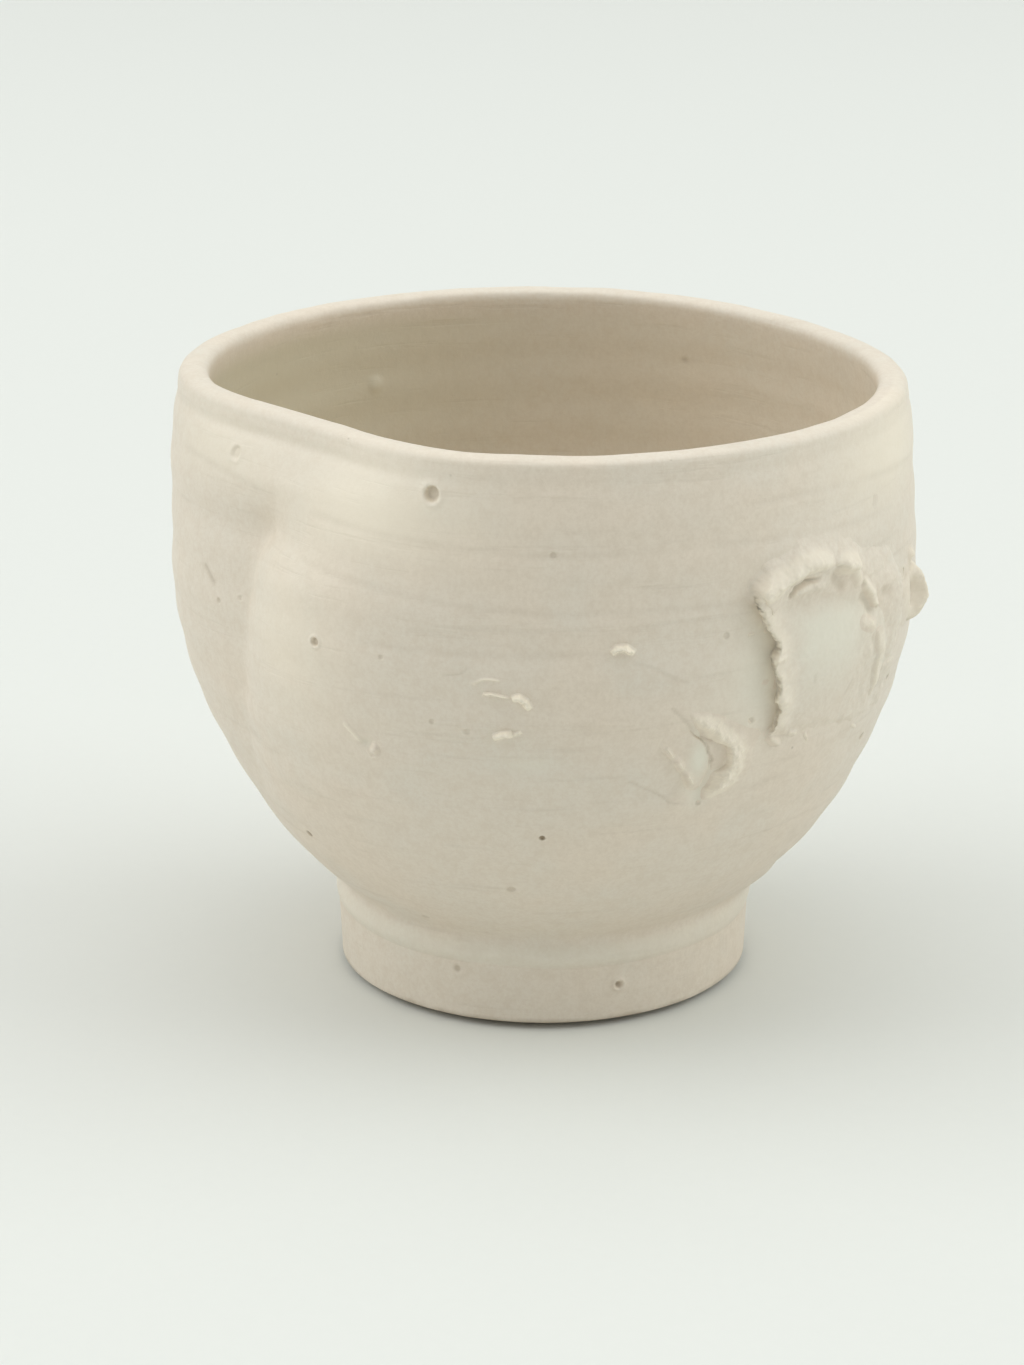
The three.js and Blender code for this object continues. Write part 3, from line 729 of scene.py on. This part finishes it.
# A scrap on the wall: a fine grid over its area, raised by reliefAt, with what stays buried cut away
def reliefPiece(area, pitch, reliefAt, groundAt, pale=0.0, leanAt=None):
    arcLow, arcHigh, riseLow, riseHigh = area
    bm = bmesh.new()
    columns, rows = round((arcHigh - arcLow) / pitch), round((riseHigh - riseLow) / pitch)
    bmesh.ops.create_grid(bm, x_segments=columns, y_segments=rows, size=0.5)
    bmesh.ops.scale(bm, vec=(arcHigh - arcLow, riseHigh - riseLow, 1), verts=bm.verts[:])
    middle = ((arcLow + arcHigh) / 2, (riseLow + riseHigh) / 2, 0)
    bmesh.ops.translate(bm, vec=middle, verts=bm.verts[:])
    lifts, grounds, thinsAndHighlights, pools, stainsAndShades = newMarks(bm, "lift", "ground", "thinAndHighlight", "pool", "stainAndShade")
    for vert in bm.verts:
        ground = groundAt(vert.co.x, vert.co.y)
        lift, pool, stainAndShade = reliefAt(vert.co.x, vert.co.y)
        vert[grounds] = ground
        vert[lifts] = max(lift, ground - relief["buried"])
        vert[pools], vert[stainsAndShades] = pool, stainAndShade
        vert[thinsAndHighlights] = pale * smoothStep(lift - ground, 0.05, 0.3)
    low = relief["buried"] - 0.01
    hidden = [face for face in bm.faces if all(vert[lifts] < vert[grounds] - low for vert in face.verts)]
    bmesh.ops.delete(bm, geom=hidden, context="FACES")
    raised = bmesh.ops.extrude_face_region(bm, geom=bm.faces[:], use_keep_orig=True)["geom"]
    tops = {item for item in raised if isinstance(item, bmesh.types.BMVert)}
    for vert in bm.verts:
        arc, rise = vert.co.x, vert.co.y
        lift = vert[lifts] if vert in tops else vert[grounds] - relief["sunk"]
        over = leanAt(arc, rise, lift) if leanAt and vert in tops else 0.0
        # painted highlight: paler colour along the overhanging torn edge, where the glaze is also thin
        vert[thinsAndHighlights] += relief["overhangThinAndHighlight"] * over
        vert.co = onWall(arc - over, rise, lift)
    bmesh.ops.recalc_face_normals(bm, faces=bm.faces[:])
    bm.normal_update()
    # the glaze breaks thin over edges and gathers in hollows
    for vert in tops:
        steps = [edge.other_vert(vert).co - vert.co for edge in vert.link_edges]
        bend = sum(step.normalized().dot(vert.normal) for step in steps) / len(steps)
        vert[thinsAndHighlights] += clamp(relief["thinAndHighlight"] * (-bend - relief["flat"]), 0, relief["most"])
        vert[thinsAndHighlights] = min(vert[thinsAndHighlights], 1.0)
        vert[pools] += clamp(relief["pool"] * (bend - relief["flat"]), 0, relief["most"] / 2)
    for name in ("lift", "ground"):
        bm.verts.layers.float.remove(bm.verts.layers.float[name])
    return bm


# Torn slab on the right: a cliff on the left, a hollow face, and a foot that sinks back into the wall
slab = {
    "area": (20, 49, -13.5, 13.4), "pitch": 0.15, "face": 0.7, "lowFace": 0.28, "edgeRidge": 0.42,
    "rag": 0.55, "ragSize": 2.1, "fineRag": 0.16, "fineRagSize": 0.7, "shift": 0.9, "shiftTop": (4.5, 7.5),
    "rough": 0.2, "roughSize": 2, "grain": 0.03, "grainSize": 0.5,
    "lean": 0.85, "leanReach": 1.6, "leanLift": (0.1, 1), "leanFoot": (-10.5, -7.5), "leanTop": (5.4, 7.4),
    "topSoft": (6.8, 8.6), "softness": 1.2, "low": (1.5, 9),
    "underTop": (-4.2, 0.2), "aboveFoot": (-0.2, 2.4), "beforeRight": (-3, 1),
    "borderReach": 1.6, "borderTop": (4.2, 5.6), "borderFoot": (8, 9.5), "borderRight": (35.5, 37.5),
    "pool": 0.7, "poolFoot": (-9, 1.5), "poolTop": (2, 5.4), "poolLeft": (1, 4.5), "poolRight": (34, 38),
    "leftEdge": (
        (-9.4, 24.2), (-7.5, 24.6), (-5.6, 24.7), (-3.9, 24.5), (-1.6, 24.1), (-0.1, 23.5), (0.7, 24),
        (1.6, 23.8), (3.3, 22.6), (4.9, 21.6), (6.3, 21.1), (7.5, 21.1), (9, 22),
    ),
    "topEdge": (
        (20, 6.4), (21.4, 6.9), (25.4, 8.2), (27.1, 8.8), (32.4, 8.7), (34.8, 7.9), (37.5, 5.8),
        (46, 3.6),
    ),
    "footEdge": ((22, -9.8), (27, -10.2), (31, -10.6), (34.3, -11.2), (38, -12.2), (46, -12.4)),
    "rightEdge": ((-13, 46), (-6, 46), (0, 46), (6, 44)),
}
slabStrokes = {
    "cornerBulge": clay(((23.2, 5.6),), 1.9, 0.6),
    "smallRoll": clay(((25.6, 6.1), (26.7, 6.5), (28.4, 6.6), (30.2, 6.1)), 0.6, 0.55, taper=True),
    "crestBase": clay(((22.5, 7.4), (25.4, 8.1), (28, 8.6), (33, 8.2), (35.5, 6.6)), 1.1, 0.35),
    # the crevice's stain is painted shade in the crevice
    "crevice": clay(
        ((25.2, 5.9), (26, 6.9), (27.5, 7.3), (29.4, 7.2)), 0.2, -0.5, stainAndShade=0.28, taper=True
    ),
    "brownPit": clay(((31.6, 7.3), (32, 6.4), (32.6, 5.7)), 0.6, -0.35, stainAndShade=0.16),
    # the darkening of the undercut and of rightShade is painted shade under the roll and beside the right edge
    "undercut": clay(((25.6, 4.9), (29, 4.7), (32.5, 4.3), (35.6, 3)), 0.95, -0.25, stainAndShade=0.05),
    "rightPit": clay(((36.6, 3.6), (37.4, 2.8), (38, 1.9)), 0.52, -0.32, stainAndShade=0.18),
    "rightShade": clay(((38.8, -0.9), (39.5, -2.2), (39.9, -3.8)), 0.55, -0.16, stainAndShade=0.14, taper=True),
    "leftSpike": clay(((24.4, -0.1), (25.3, -0.1)), 0.35, 0.35),
    "lowBright": clay(((26.4, -5.2), (26.9, -6.2)), 0.7, 0.35),
    "lowPatch": clay(((26.6, -7.6), (26.9, -8.8)), 0.7, 0.3),
    "faceNick": clay(((29.6, -3.2), (29.7, -3.9)), 0.22, -0.08, stainAndShade=0.1),
    "lowScratch": clay(((36.4, -5.4), (35.6, -6.8)), 0.24, -0.06, stainAndShade=0.1),
}
slabBits = {
    "one": clay(((25, -9), (25.8, -9.8), (26.8, -10.6)), 0.45, 0.6, taper=True),
    "two": clay(((27.9, -9.3), (28.7, -9.5)), 0.34, 0.42),
    "three": clay(((30.5, -10.2), (30.9, -10.7)), 0.3, 0.34),
    "four": clay(((39.6, -11.6), (41, -12.2)), 0.42, 0.42),
    "pitOne": clay(((31.2, -10.3),), 0.4, -0.2, stainAndShade=0.3),
    "pitTwo": clay(((26.2, -10.6), (27.2, -11)), 0.34, -0.2, stainAndShade=0.22),
}


def slabTorn(arc, rise):
    place = (arc, rise, 0)
    coarse = slab["rag"] * lumpy(place, slab["ragSize"], 11, 3)
    return coarse + slab["fineRag"] * lumpy(place, slab["fineRagSize"], 14, 3)


def slabInside(arc, rise):
    shift = slab["shift"] * (1 - 0.6 * smoothStep(rise, *slab["shiftTop"]))
    return arc - valueAt(slab["leftEdge"], rise) - shift + slabTorn(arc, rise)


# How far the torn left edge hangs over the wall
def slabLean(arc, rise, lift):
    share = smoothStep(lift - bareWall(arc, rise), *slab["leanLift"])
    share *= fallOff(slabInside(arc, rise), slab["leanReach"])
    return slab["lean"] * share * between(rise, slab["leanFoot"], slab["leanTop"])


def slabRelief(arc, rise):
    place = (arc, rise, 0)
    torn = slabTorn(arc, rise)
    soft = slab["softness"] * smoothStep(rise, *slab["topSoft"])
    inside = slabInside(arc, rise)
    under = valueAt(slab["topEdge"], arc) - rise + 0.6 * torn
    above = rise - valueAt(slab["footEdge"], arc) + torn
    before = valueAt(slab["rightEdge"], rise) - arc + 2 * torn
    body = smoothStep(inside, -0.10 - soft, 0.24 + soft) * smoothStep(under, *slab["underTop"])
    body *= smoothStep(above, *slab["aboveFoot"]) * smoothStep(before, *slab["beforeRight"])
    low = smoothStep(-rise, *slab["low"])
    height = mixed(slab["face"], slab["lowFace"], low)
    height += slab["edgeRidge"] * fallOff(inside - 0.4, 0.9) * (1 - 0.3 * low)
    # the face is smooth, and the torn border round it is rough
    border = max(
        fallOff(inside, slab["borderReach"]), smoothStep(rise, *slab["borderTop"]),
        smoothStep(-rise, *slab["borderFoot"]), smoothStep(arc, *slab["borderRight"]),
    )
    rough = slab["rough"] * border * lumpy(place, slab["roughSize"], 12, 4)
    rough += slab["grain"] * lumpy(place, slab["grainSize"], 13, 2)
    lift, stainAndShade = strokesAt(slabStrokes, arc, rise)
    pool = slab["pool"] * between(rise, slab["poolFoot"], slab["poolTop"])
    pool *= smoothStep(inside, *slab["poolLeft"])
    pool *= 1 - 0.6 * smoothStep(arc, *slab["poolRight"])
    bits, dark = strokesAt(slabBits, arc, rise)
    bare = bareWall(arc, rise)
    height = max(mixed(bare - 0.3, height + rough + lift, body), bare + 0.4 * rough + bits - relief["buried"])
    return height, pool * body, max(stainAndShade * body, dark)


def bareWall(arc, rise):
    return swellAt(wallHollows, arc, rise)


def slabGround(arc, rise):
    return max(bareWall(arc, rise), slabRelief(arc, rise)[0])


# Pieces that stand on the slab or on the bare wall, each as a few strokes
scraps = {
    "SlabTopRoll": {
        "node": "slab_top_roll", "slot": "scrap_glaze", "pale": 0.45, "ground": slabGround,
        "area": (20, 34, 4.6, 12), "pitch": 0.13, "seed": 21, "rough": 0.2, "roughSize": 2.4,
        "strokes": {
            "crest": clay(
                ((21.8, 6.7), (23.3, 7.6), (25.4, 8.1), (27.1, 8.7), (29.2, 8.8), (31.2, 8.6)),
                0.7, 0.7, leftWidth=1.6, taper=True,
            ),
            "corner": clay(((22, 6.7), (23.6, 7)), 1, 0.4),
        },
    },
    "SlabTopLump": {
        "node": "slab_top_lump", "slot": "scrap_glaze", "pale": 0.45, "ground": slabGround,
        "area": (29.6, 38, 4.2, 11), "pitch": 0.13, "seed": 31, "rough": 0.22, "roughSize": 1.6,
        "strokes": {
            "lump": clay(((32.8, 7.9), (34, 7.6)), 0.85, 0.95, leftWidth=1.3),
            "shoulder": clay(((34.4, 6.9), (35.4, 5.8), (36, 4.9)), 0.75, 0.4, taper=True),
        },
    },
    "SlabSideRidge": {
        "node": "slab_side_ridge", "slot": "scrap_glaze", "pale": 0.4, "ground": slabGround,
        "area": (34.6, 44, -10.6, 6), "pitch": 0.14, "seed": 41, "rough": 0.3, "roughSize": 1.4,
        "strokes": {
            "pitRim": clay(((36.8, 4.8), (38.2, 3.4), (38.8, 2.4)), 0.42, 0.6, leftWidth=0.8),
            "step": clay(((37, 0.8), (38.4, 0.1)), 0.8, 0.4),
            "strip": clay(
                ((39.7, -0.4), (40.5, -2.8), (40.9, -4.8), (41.4, -6.8), (42, -9)),
                0.5, 0.48, leftWidth=1.4, taper=True,
            ),
        },
    },
    "SlabSideScrap": {
        "node": "slab_side_scrap", "slot": "slab_glaze", "pale": 0, "ground": slabGround,
        "area": (36.6, 51, -13, 8.6), "pitch": 0.16, "seed": 51, "rough": 0.25, "roughSize": 2,
        "strokes": {
            "upper": clay(((41.5, 3.6), (44.6, 2.2)), 2, 0.5),
            "middle": clay(((43.6, 0), (44.2, -3)), 2, 0.35),
            "lower": clay(((44.4, -5.2), (44.8, -8.4)), 1.8, 0.4, taper=True),
            "leftPit": clay(((40.6, 3.2), (41.3, 2.9)), 0.62, -0.24, stainAndShade=0.16),
            "middlePit": clay(((45.3, 1.4), (46, 1)), 0.6, -0.14, stainAndShade=0.26),
            "shade": clay(((45.4, -0.8), (44.8, -2.6)), 0.55, -0.18, stainAndShade=0.12),
        },
    },
    "SlabEdgeLump": {
        "node": "slab_edge_lump", "slot": "scrap_glaze", "pale": 0.3, "ground": slabGround,
        "area": (45, 56, -6.6, 6.6), "pitch": 0.13, "seed": 61, "rough": 0.28, "roughSize": 1.7,
        "strokes": {
            "ridge": clay(
                ((51.2, 2.8), (52.4, 1.3), (52.9, -0.2), (52.7, -1.6), (51.9, -3.4)), 0.85, 1.75, taper=True
            ),
            "base": clay(((48.8, 1.8), (50, -1.4)), 1.7, 0.45),
            "spur": clay(((51, 4.2),), 0.75, 0.8),
            "opening": clay(((48, 3.2), (48.3, 2.5)), 0.7, -0.6),
            # the fold's darkening is painted shade
            "fold": clay(((50.9, 1.2), (51.3, -0.2), (51.1, -1.6)), 0.4, -0.2, stainAndShade=0.16, taper=True),
        },
    },
    "UpperSliver": {
        "node": "upper_sliver", "slot": "scrap_glaze", "pale": 0.85, "ground": bareWall,
        "area": (5.6, 10, 1, 4.4), "pitch": 0.07, "seed": 91, "rough": 0.45, "roughSize": 0.5,
        "strokes": {
            "arch": clay(((6.6, 2.3), (7.2, 2.8), (8, 2.8), (8.9, 2.1)), 0.34, 0.8, power=2.5, taper=True),
        },
    },
    "MiddleTail": {
        "node": "middle_tail", "slot": "scrap_glaze", "pale": 0.8, "ground": bareWall,
        "area": (-6.8, -2.6, -3.2, -1), "pitch": 0.06, "seed": 93, "rough": 0.1, "roughSize": 0.6,
        "strokes": {
            "thread": clay(
                ((-6, -1.9), (-5.2, -1.8), (-4.2, -2), (-3.3, -2.2)), 0.16, 0.4, power=2.5, taper=True
            ),
        },
    },
    "MiddleCrumb": {
        "node": "middle_crumb", "slot": "scrap_glaze", "pale": 0.85, "ground": bareWall,
        "area": (-4.4, -0.4, -4.4, -1.2), "pitch": 0.07, "seed": 94, "rough": 0.45, "roughSize": 0.6,
        "strokes": {
            "hook": clay(
                ((-3.1, -2.3), (-2.4, -2.1), (-1.8, -2.5), (-1.3, -3.4)), 0.36, 0.9, power=2.5, taper=True
            ),
        },
    },
    "LowerSliver": {
        "node": "lower_sliver", "slot": "scrap_glaze", "pale": 0.8, "ground": bareWall,
        "area": (-6, -1.4, -7.6, -5), "pitch": 0.07, "seed": 92, "rough": 0.45, "roughSize": 0.6,
        "strokes": {
            "sliver": clay(((-5.1, -6.7), (-4.1, -6.2), (-3.1, -6)), 0.36, 0.75, power=2.5, taper=True),
            "chip": clay(((-3.3, -6.3), (-2.3, -5.9)), 0.28, 0.35),
        },
    },
    "SmallBlister": {
        "node": "small_blister", "slot": "bowl_glaze", "pale": 0, "ground": bareWall,
        "area": (-20.2, -16.4, -11.2, -7.6), "pitch": 0.08, "seed": 95, "rough": 0.06, "roughSize": 0.8,
        "strokes": {
            "bead": clay(((-18.1, -9.5),), 0.55, 0.55, power=3),
            "ring": clay(((-19.2, -9.6), (-18.6, -10.5), (-17.5, -10.3)), 0.25, 0.25, taper=True),
        },
    },
}


def scrapPiece(name, scrap):
    def reliefAt(arc, rise):
        lift, stainAndShade = strokesAt(scrap["strokes"], arc, rise)
        uneven = lumpy((arc, rise, 0), scrap["roughSize"], scrap["seed"], 4)
        if lift > 0:
            lift *= 1 + scrap["rough"] * uneven
        return scrap["ground"](arc, rise) + lift - relief["buried"], 0.0, stainAndShade

    bm = reliefPiece(scrap["area"], scrap["pitch"], reliefAt, scrap["ground"], scrap["pale"])
    finishPiece(bm, name, scrap["node"], scrap["slot"])


# Flake that has come away: a thin flap lifted along its lower left edge, sunk towards a slit, and a chip
# beyond the slit
flake = {
    "area": (11, 21.6, -15.4, -3.4), "pitch": 0.1, "rag": 0.18, "ragSize": 1, "grain": 0.02,
    "flapHeight": 0.02, "edgeLift": 0.12, "tilt": 0.16, "chipSunk": 0.12, "slitDepth": 0.28, "slitShade": 0.26,
    "sliver": ((7.6, 8.6), (12.6, 13.4)), "slitShown": ((4.6, 6.4), (11.6, 13)),
    "shown": ((4.2, 6.2), (13.4, 14.6)), "pool": 0.9, "poolPlace": (16.8, -10.3), "poolSpread": (1.25, 2.4),
    "edge": (
        (-13.4, 16.1), (-12.9, 15.7), (-11.9, 14.9), (-10.5, 13.9), (-9.5, 13), (-8.3, 12.1),
        (-6, 11.9), (-4, 12.4),
    ),
    "slit": (
        (-14, 17.2), (-12.5, 17.9), (-11.6, 18.4), (-10.1, 18.1), (-8.5, 17.3), (-7.5, 16),
        (-6.2, 15.1), (-4.9, 13.9), (-4, 13.3),
    ),
    "chipEdge": ((-13.4, 18.4), (-11.8, 20), (-10, 20.4), (-8.4, 19.2), (-7.6, 17.2), (-6.4, 15.2)),
}
flakeStrokes = {
    "thread": clay(((12.7, -8.4), (13.6, -9.6)), 0.18, 0.4, taper=True),
    "upperBead": clay(((14.2, -10.2), (14.6, -10.8)), 0.34, 0.75),
    "lowerBead": clay(((15.5, -12), (16, -12.8)), 0.34, 0.8),
}
# Crescent that stands round the flake on its right, with a bite out of its inner side
flakeRim = {
    "area": (12.6, 25.6, -18.2, -2.6), "pitch": 0.11, "lift": 0.95, "outer": 1.9, "rag": 0.22, "rough": 0.35,
    "pale": 0.45, "bitten": ((8.4, 9.2), (11.2, 12.2)), "shown": ((4.2, 6.8), (13.4, 16.2)),
    "crest": (
        (-16.4, 16.8), (-14.9, 18.7), (-13.5, 19.7), (-11.8, 20.3), (-10, 20.3), (-8.5, 19.4),
        (-7.4, 18.1), (-6.4, 17), (-5.3, 16), (-4, 14.8),
    ),
}


def flakeRelief(arc, rise):
    place = (arc, rise, 0)
    torn = flake["rag"] * lumpy(place, flake["ragSize"], 71, 4)
    fromEdge = arc - valueAt(flake["edge"], rise) + torn
    toSlit = valueAt(flake["slit"], rise) - arc + torn
    toChipEdge = valueAt(flake["chipEdge"], rise) - arc + torn
    sliver = between(-rise, *flake["sliver"])
    flap = flake["flapHeight"] + sliver * flake["edgeLift"] * fallOff(fromEdge - 0.30, 0.36)
    flap -= flake["tilt"] * smoothStep(toSlit, 1.8, 0.3)
    flap -= 0.30 * (1 - smoothStep(fromEdge, -0.7, 0.5))
    chip = -flake["chipSunk"] - 0.30 * (1 - smoothStep(toChipEdge, -0.2, 0.2))
    chip -= 0.4 * (1 - smoothStep(-rise, 7.8, 8.6))
    chip -= 0.4 * smoothStep(-rise, 11.4, 12.6)
    lift = flap if toSlit > 0 else chip
    uneven = 0.7 + 0.5 * lumpy(place, 0.9, 73, 2)
    # the slit's darkening is painted shade
    slit = uneven * fallOff(toSlit, 0.20) * between(-rise, *flake["slitShown"])
    added, dark = strokesAt(flakeStrokes, arc, rise)
    lift += added + flake["grain"] * lumpy(place, 0.6, 72, 3) - flake["slitDepth"] * slit
    lift = mixed(bareWall(arc, rise) - 0.3, lift, between(-rise, *flake["shown"]))
    (poolArc, poolRise), (across, up) = flake["poolPlace"], flake["poolSpread"]
    pooled = flake["pool"] * fallOff(arc - poolArc, across) * fallOff(rise - poolRise, up)
    pooled *= smoothStep(toSlit, 0.0, 0.4)
    return lift, pooled, clamp(flake["slitShade"] * slit + (0.05 if toSlit < 0 else 0.0))


def rimRelief(arc, rise):
    place = (arc, rise, 0)
    crest = valueAt(flakeRim["crest"], rise)
    off = arc - crest + flakeRim["rag"] * lumpy(place, 1.1, 82, 4)
    bitten = between(-rise, *flakeRim["bitten"])
    reach = mixed(max(0.8 * (crest - valueAt(flake["slit"], rise)), 0.8), 0.3, bitten)
    height = fallOff(off, flakeRim["outer"], 1.7) if off > 0 else smoothStep(off, -reach, 0)
    height *= between(-rise, *flakeRim["shown"])
    lift = flakeRim["lift"] * height * (1 + flakeRim["rough"] * lumpy(place, 1.2, 81, 4))
    return bareWall(arc, rise) + lift - relief["buried"], 0.0, 0.0


def clayScraps():
    bm = reliefPiece(slab["area"], slab["pitch"], slabRelief, bareWall, leanAt=slabLean)
    finishPiece(bm, "TornSlab", "torn_slab", "slab_glaze")
    bm = reliefPiece(flake["area"], flake["pitch"], flakeRelief, bareWall)
    finishPiece(bm, "CurledFlake", "curled_flake", "slab_glaze")
    bm = reliefPiece(flakeRim["area"], flakeRim["pitch"], rimRelief, bareWall, flakeRim["pale"])
    finishPiece(bm, "FlakeRim", "flake_rim", "scrap_glaze")
    for name, scrap in scraps.items():
        scrapPiece(name, scrap)


thrownBowl()
footRing()
clayScraps()


# Stage: a wide pale floor, soft lamps at the sides and behind, and a sky that is darker near the floor
stage = {
    "floorSize": 6.0, "floorColour": (0.785, 0.792, 0.756, 1), "floorShade": 0.985, "floorGrain": 1.5,
    "floorRoughness": 0.9, "floorShine": 0.1, "background": (0.775, 0.807, 0.770, 1),
    "sky": (0.97, 1.0, 0.985, 1), "skyLow": 0.28, "skyHigh": 0.61, "skyRise": 0.7,
}
lamps = {
    "LampLeft": {"place": (-1.28, -0.02, 0.90), "size": 1.3, "watts": 8.8, "colour": (0.97, 1.0, 1.0)},
    "LampRight": {"place": (1.28, -0.02, 0.90), "size": 1.3, "watts": 8.5, "colour": (0.94, 1.0, 1.0)},
    "LampTop": {"place": (0.0, 0.30, 2.2), "size": 2.4, "watts": 15.2, "colour": (1.0, 1.0, 0.99)},
}
target = Vector((0, 0, 0.035))


def makeStage():
    bm = bmesh.new()
    bmesh.ops.create_grid(bm, x_segments=8, y_segments=8, size=stage["floorSize"] / 2)
    material, tree, shader, place = newMaterial("floorPaper")
    pale = stage["floorColour"]
    darker = tuple(stage["floorShade"] * channel for channel in pale[:3]) + (1,)
    mottled = mixNode(tree, noiseNode(tree, place, stage["floorGrain"], 2), pale, darker)
    tree.links.new(mottled, shader.inputs["Base Color"])
    shader.inputs["Roughness"].default_value = stage["floorRoughness"]
    shader.inputs["Specular IOR Level"].default_value = stage["floorShine"]
    linkMesh("Floor", bm, material)

    world = bpy.data.worlds.new("Studio")
    bpy.context.scene.world = world
    world.use_nodes = True
    tree = world.node_tree
    sky = tree.nodes["Background"]
    sky.inputs["Color"].default_value = stage["sky"]
    direction = addNode(tree, "ShaderNodeTexCoord").outputs["Generated"]
    upward = addNode(tree, "ShaderNodeSeparateXYZ", {"Vector": direction}).outputs["Z"]
    limits = {"From Max": stage["skyRise"], "To Min": stage["skyLow"], "To Max": stage["skyHigh"]}
    strength = addNode(tree, "ShaderNodeMapRange", {"Value": upward, "From Min": 0.0, **limits})
    tree.links.new(strength.outputs["Result"], sky.inputs["Strength"])
    seen = addNode(tree, "ShaderNodeBackground", {"Color": stage["background"], "Strength": 1.0})
    path = addNode(tree, "ShaderNodeLightPath").outputs
    isSeen = mathNode(tree, "MAXIMUM", path["Is Camera Ray"], path["Is Glossy Ray"])
    isSeen = mathNode(tree, "MAXIMUM", isSeen, path["Is Transmission Ray"])
    both = addNode(tree, "ShaderNodeMixShader", {0: isSeen, 1: sky.outputs[0], 2: seen.outputs[0]})
    tree.links.new(both.outputs[0], tree.nodes["World Output"].inputs["Surface"])

    for name, lamp in lamps.items():
        light = bpy.data.lights.new(name, "AREA")
        light.shape = "SQUARE"
        light.size = lamp["size"]
        light.energy = lamp["watts"]
        light.color = lamp["colour"]
        lampObject = linkObject(name, light)
        lampObject.location = lamp["place"]
        lampObject.rotation_euler = (target - lampObject.location).to_track_quat("-Z", "Y").to_euler()
    print("stage done")


# Camera, from the lip and foot ellipses
view = {"place": (0, -0.3719, 0.15898), "tiltDown": 18.95, "turnLeft": 0.53, "lens": 95.0, "sensor": 36}


def makeCamera():
    data = bpy.data.cameras.new("Camera")
    data.lens = view["lens"]
    data.sensor_width = view["sensor"]
    data.clip_start = 0.01
    camera = linkObject("Camera", data)
    camera.location = view["place"]
    camera.rotation_euler = (math.radians(90 - view["tiltDown"]), 0, math.radians(view["turnLeft"]))
    bpy.context.scene.camera = camera


makeStage()
makeCamera()
bpy.context.scene.view_settings.view_transform = "Standard"

bpy.context.view_layer.update()
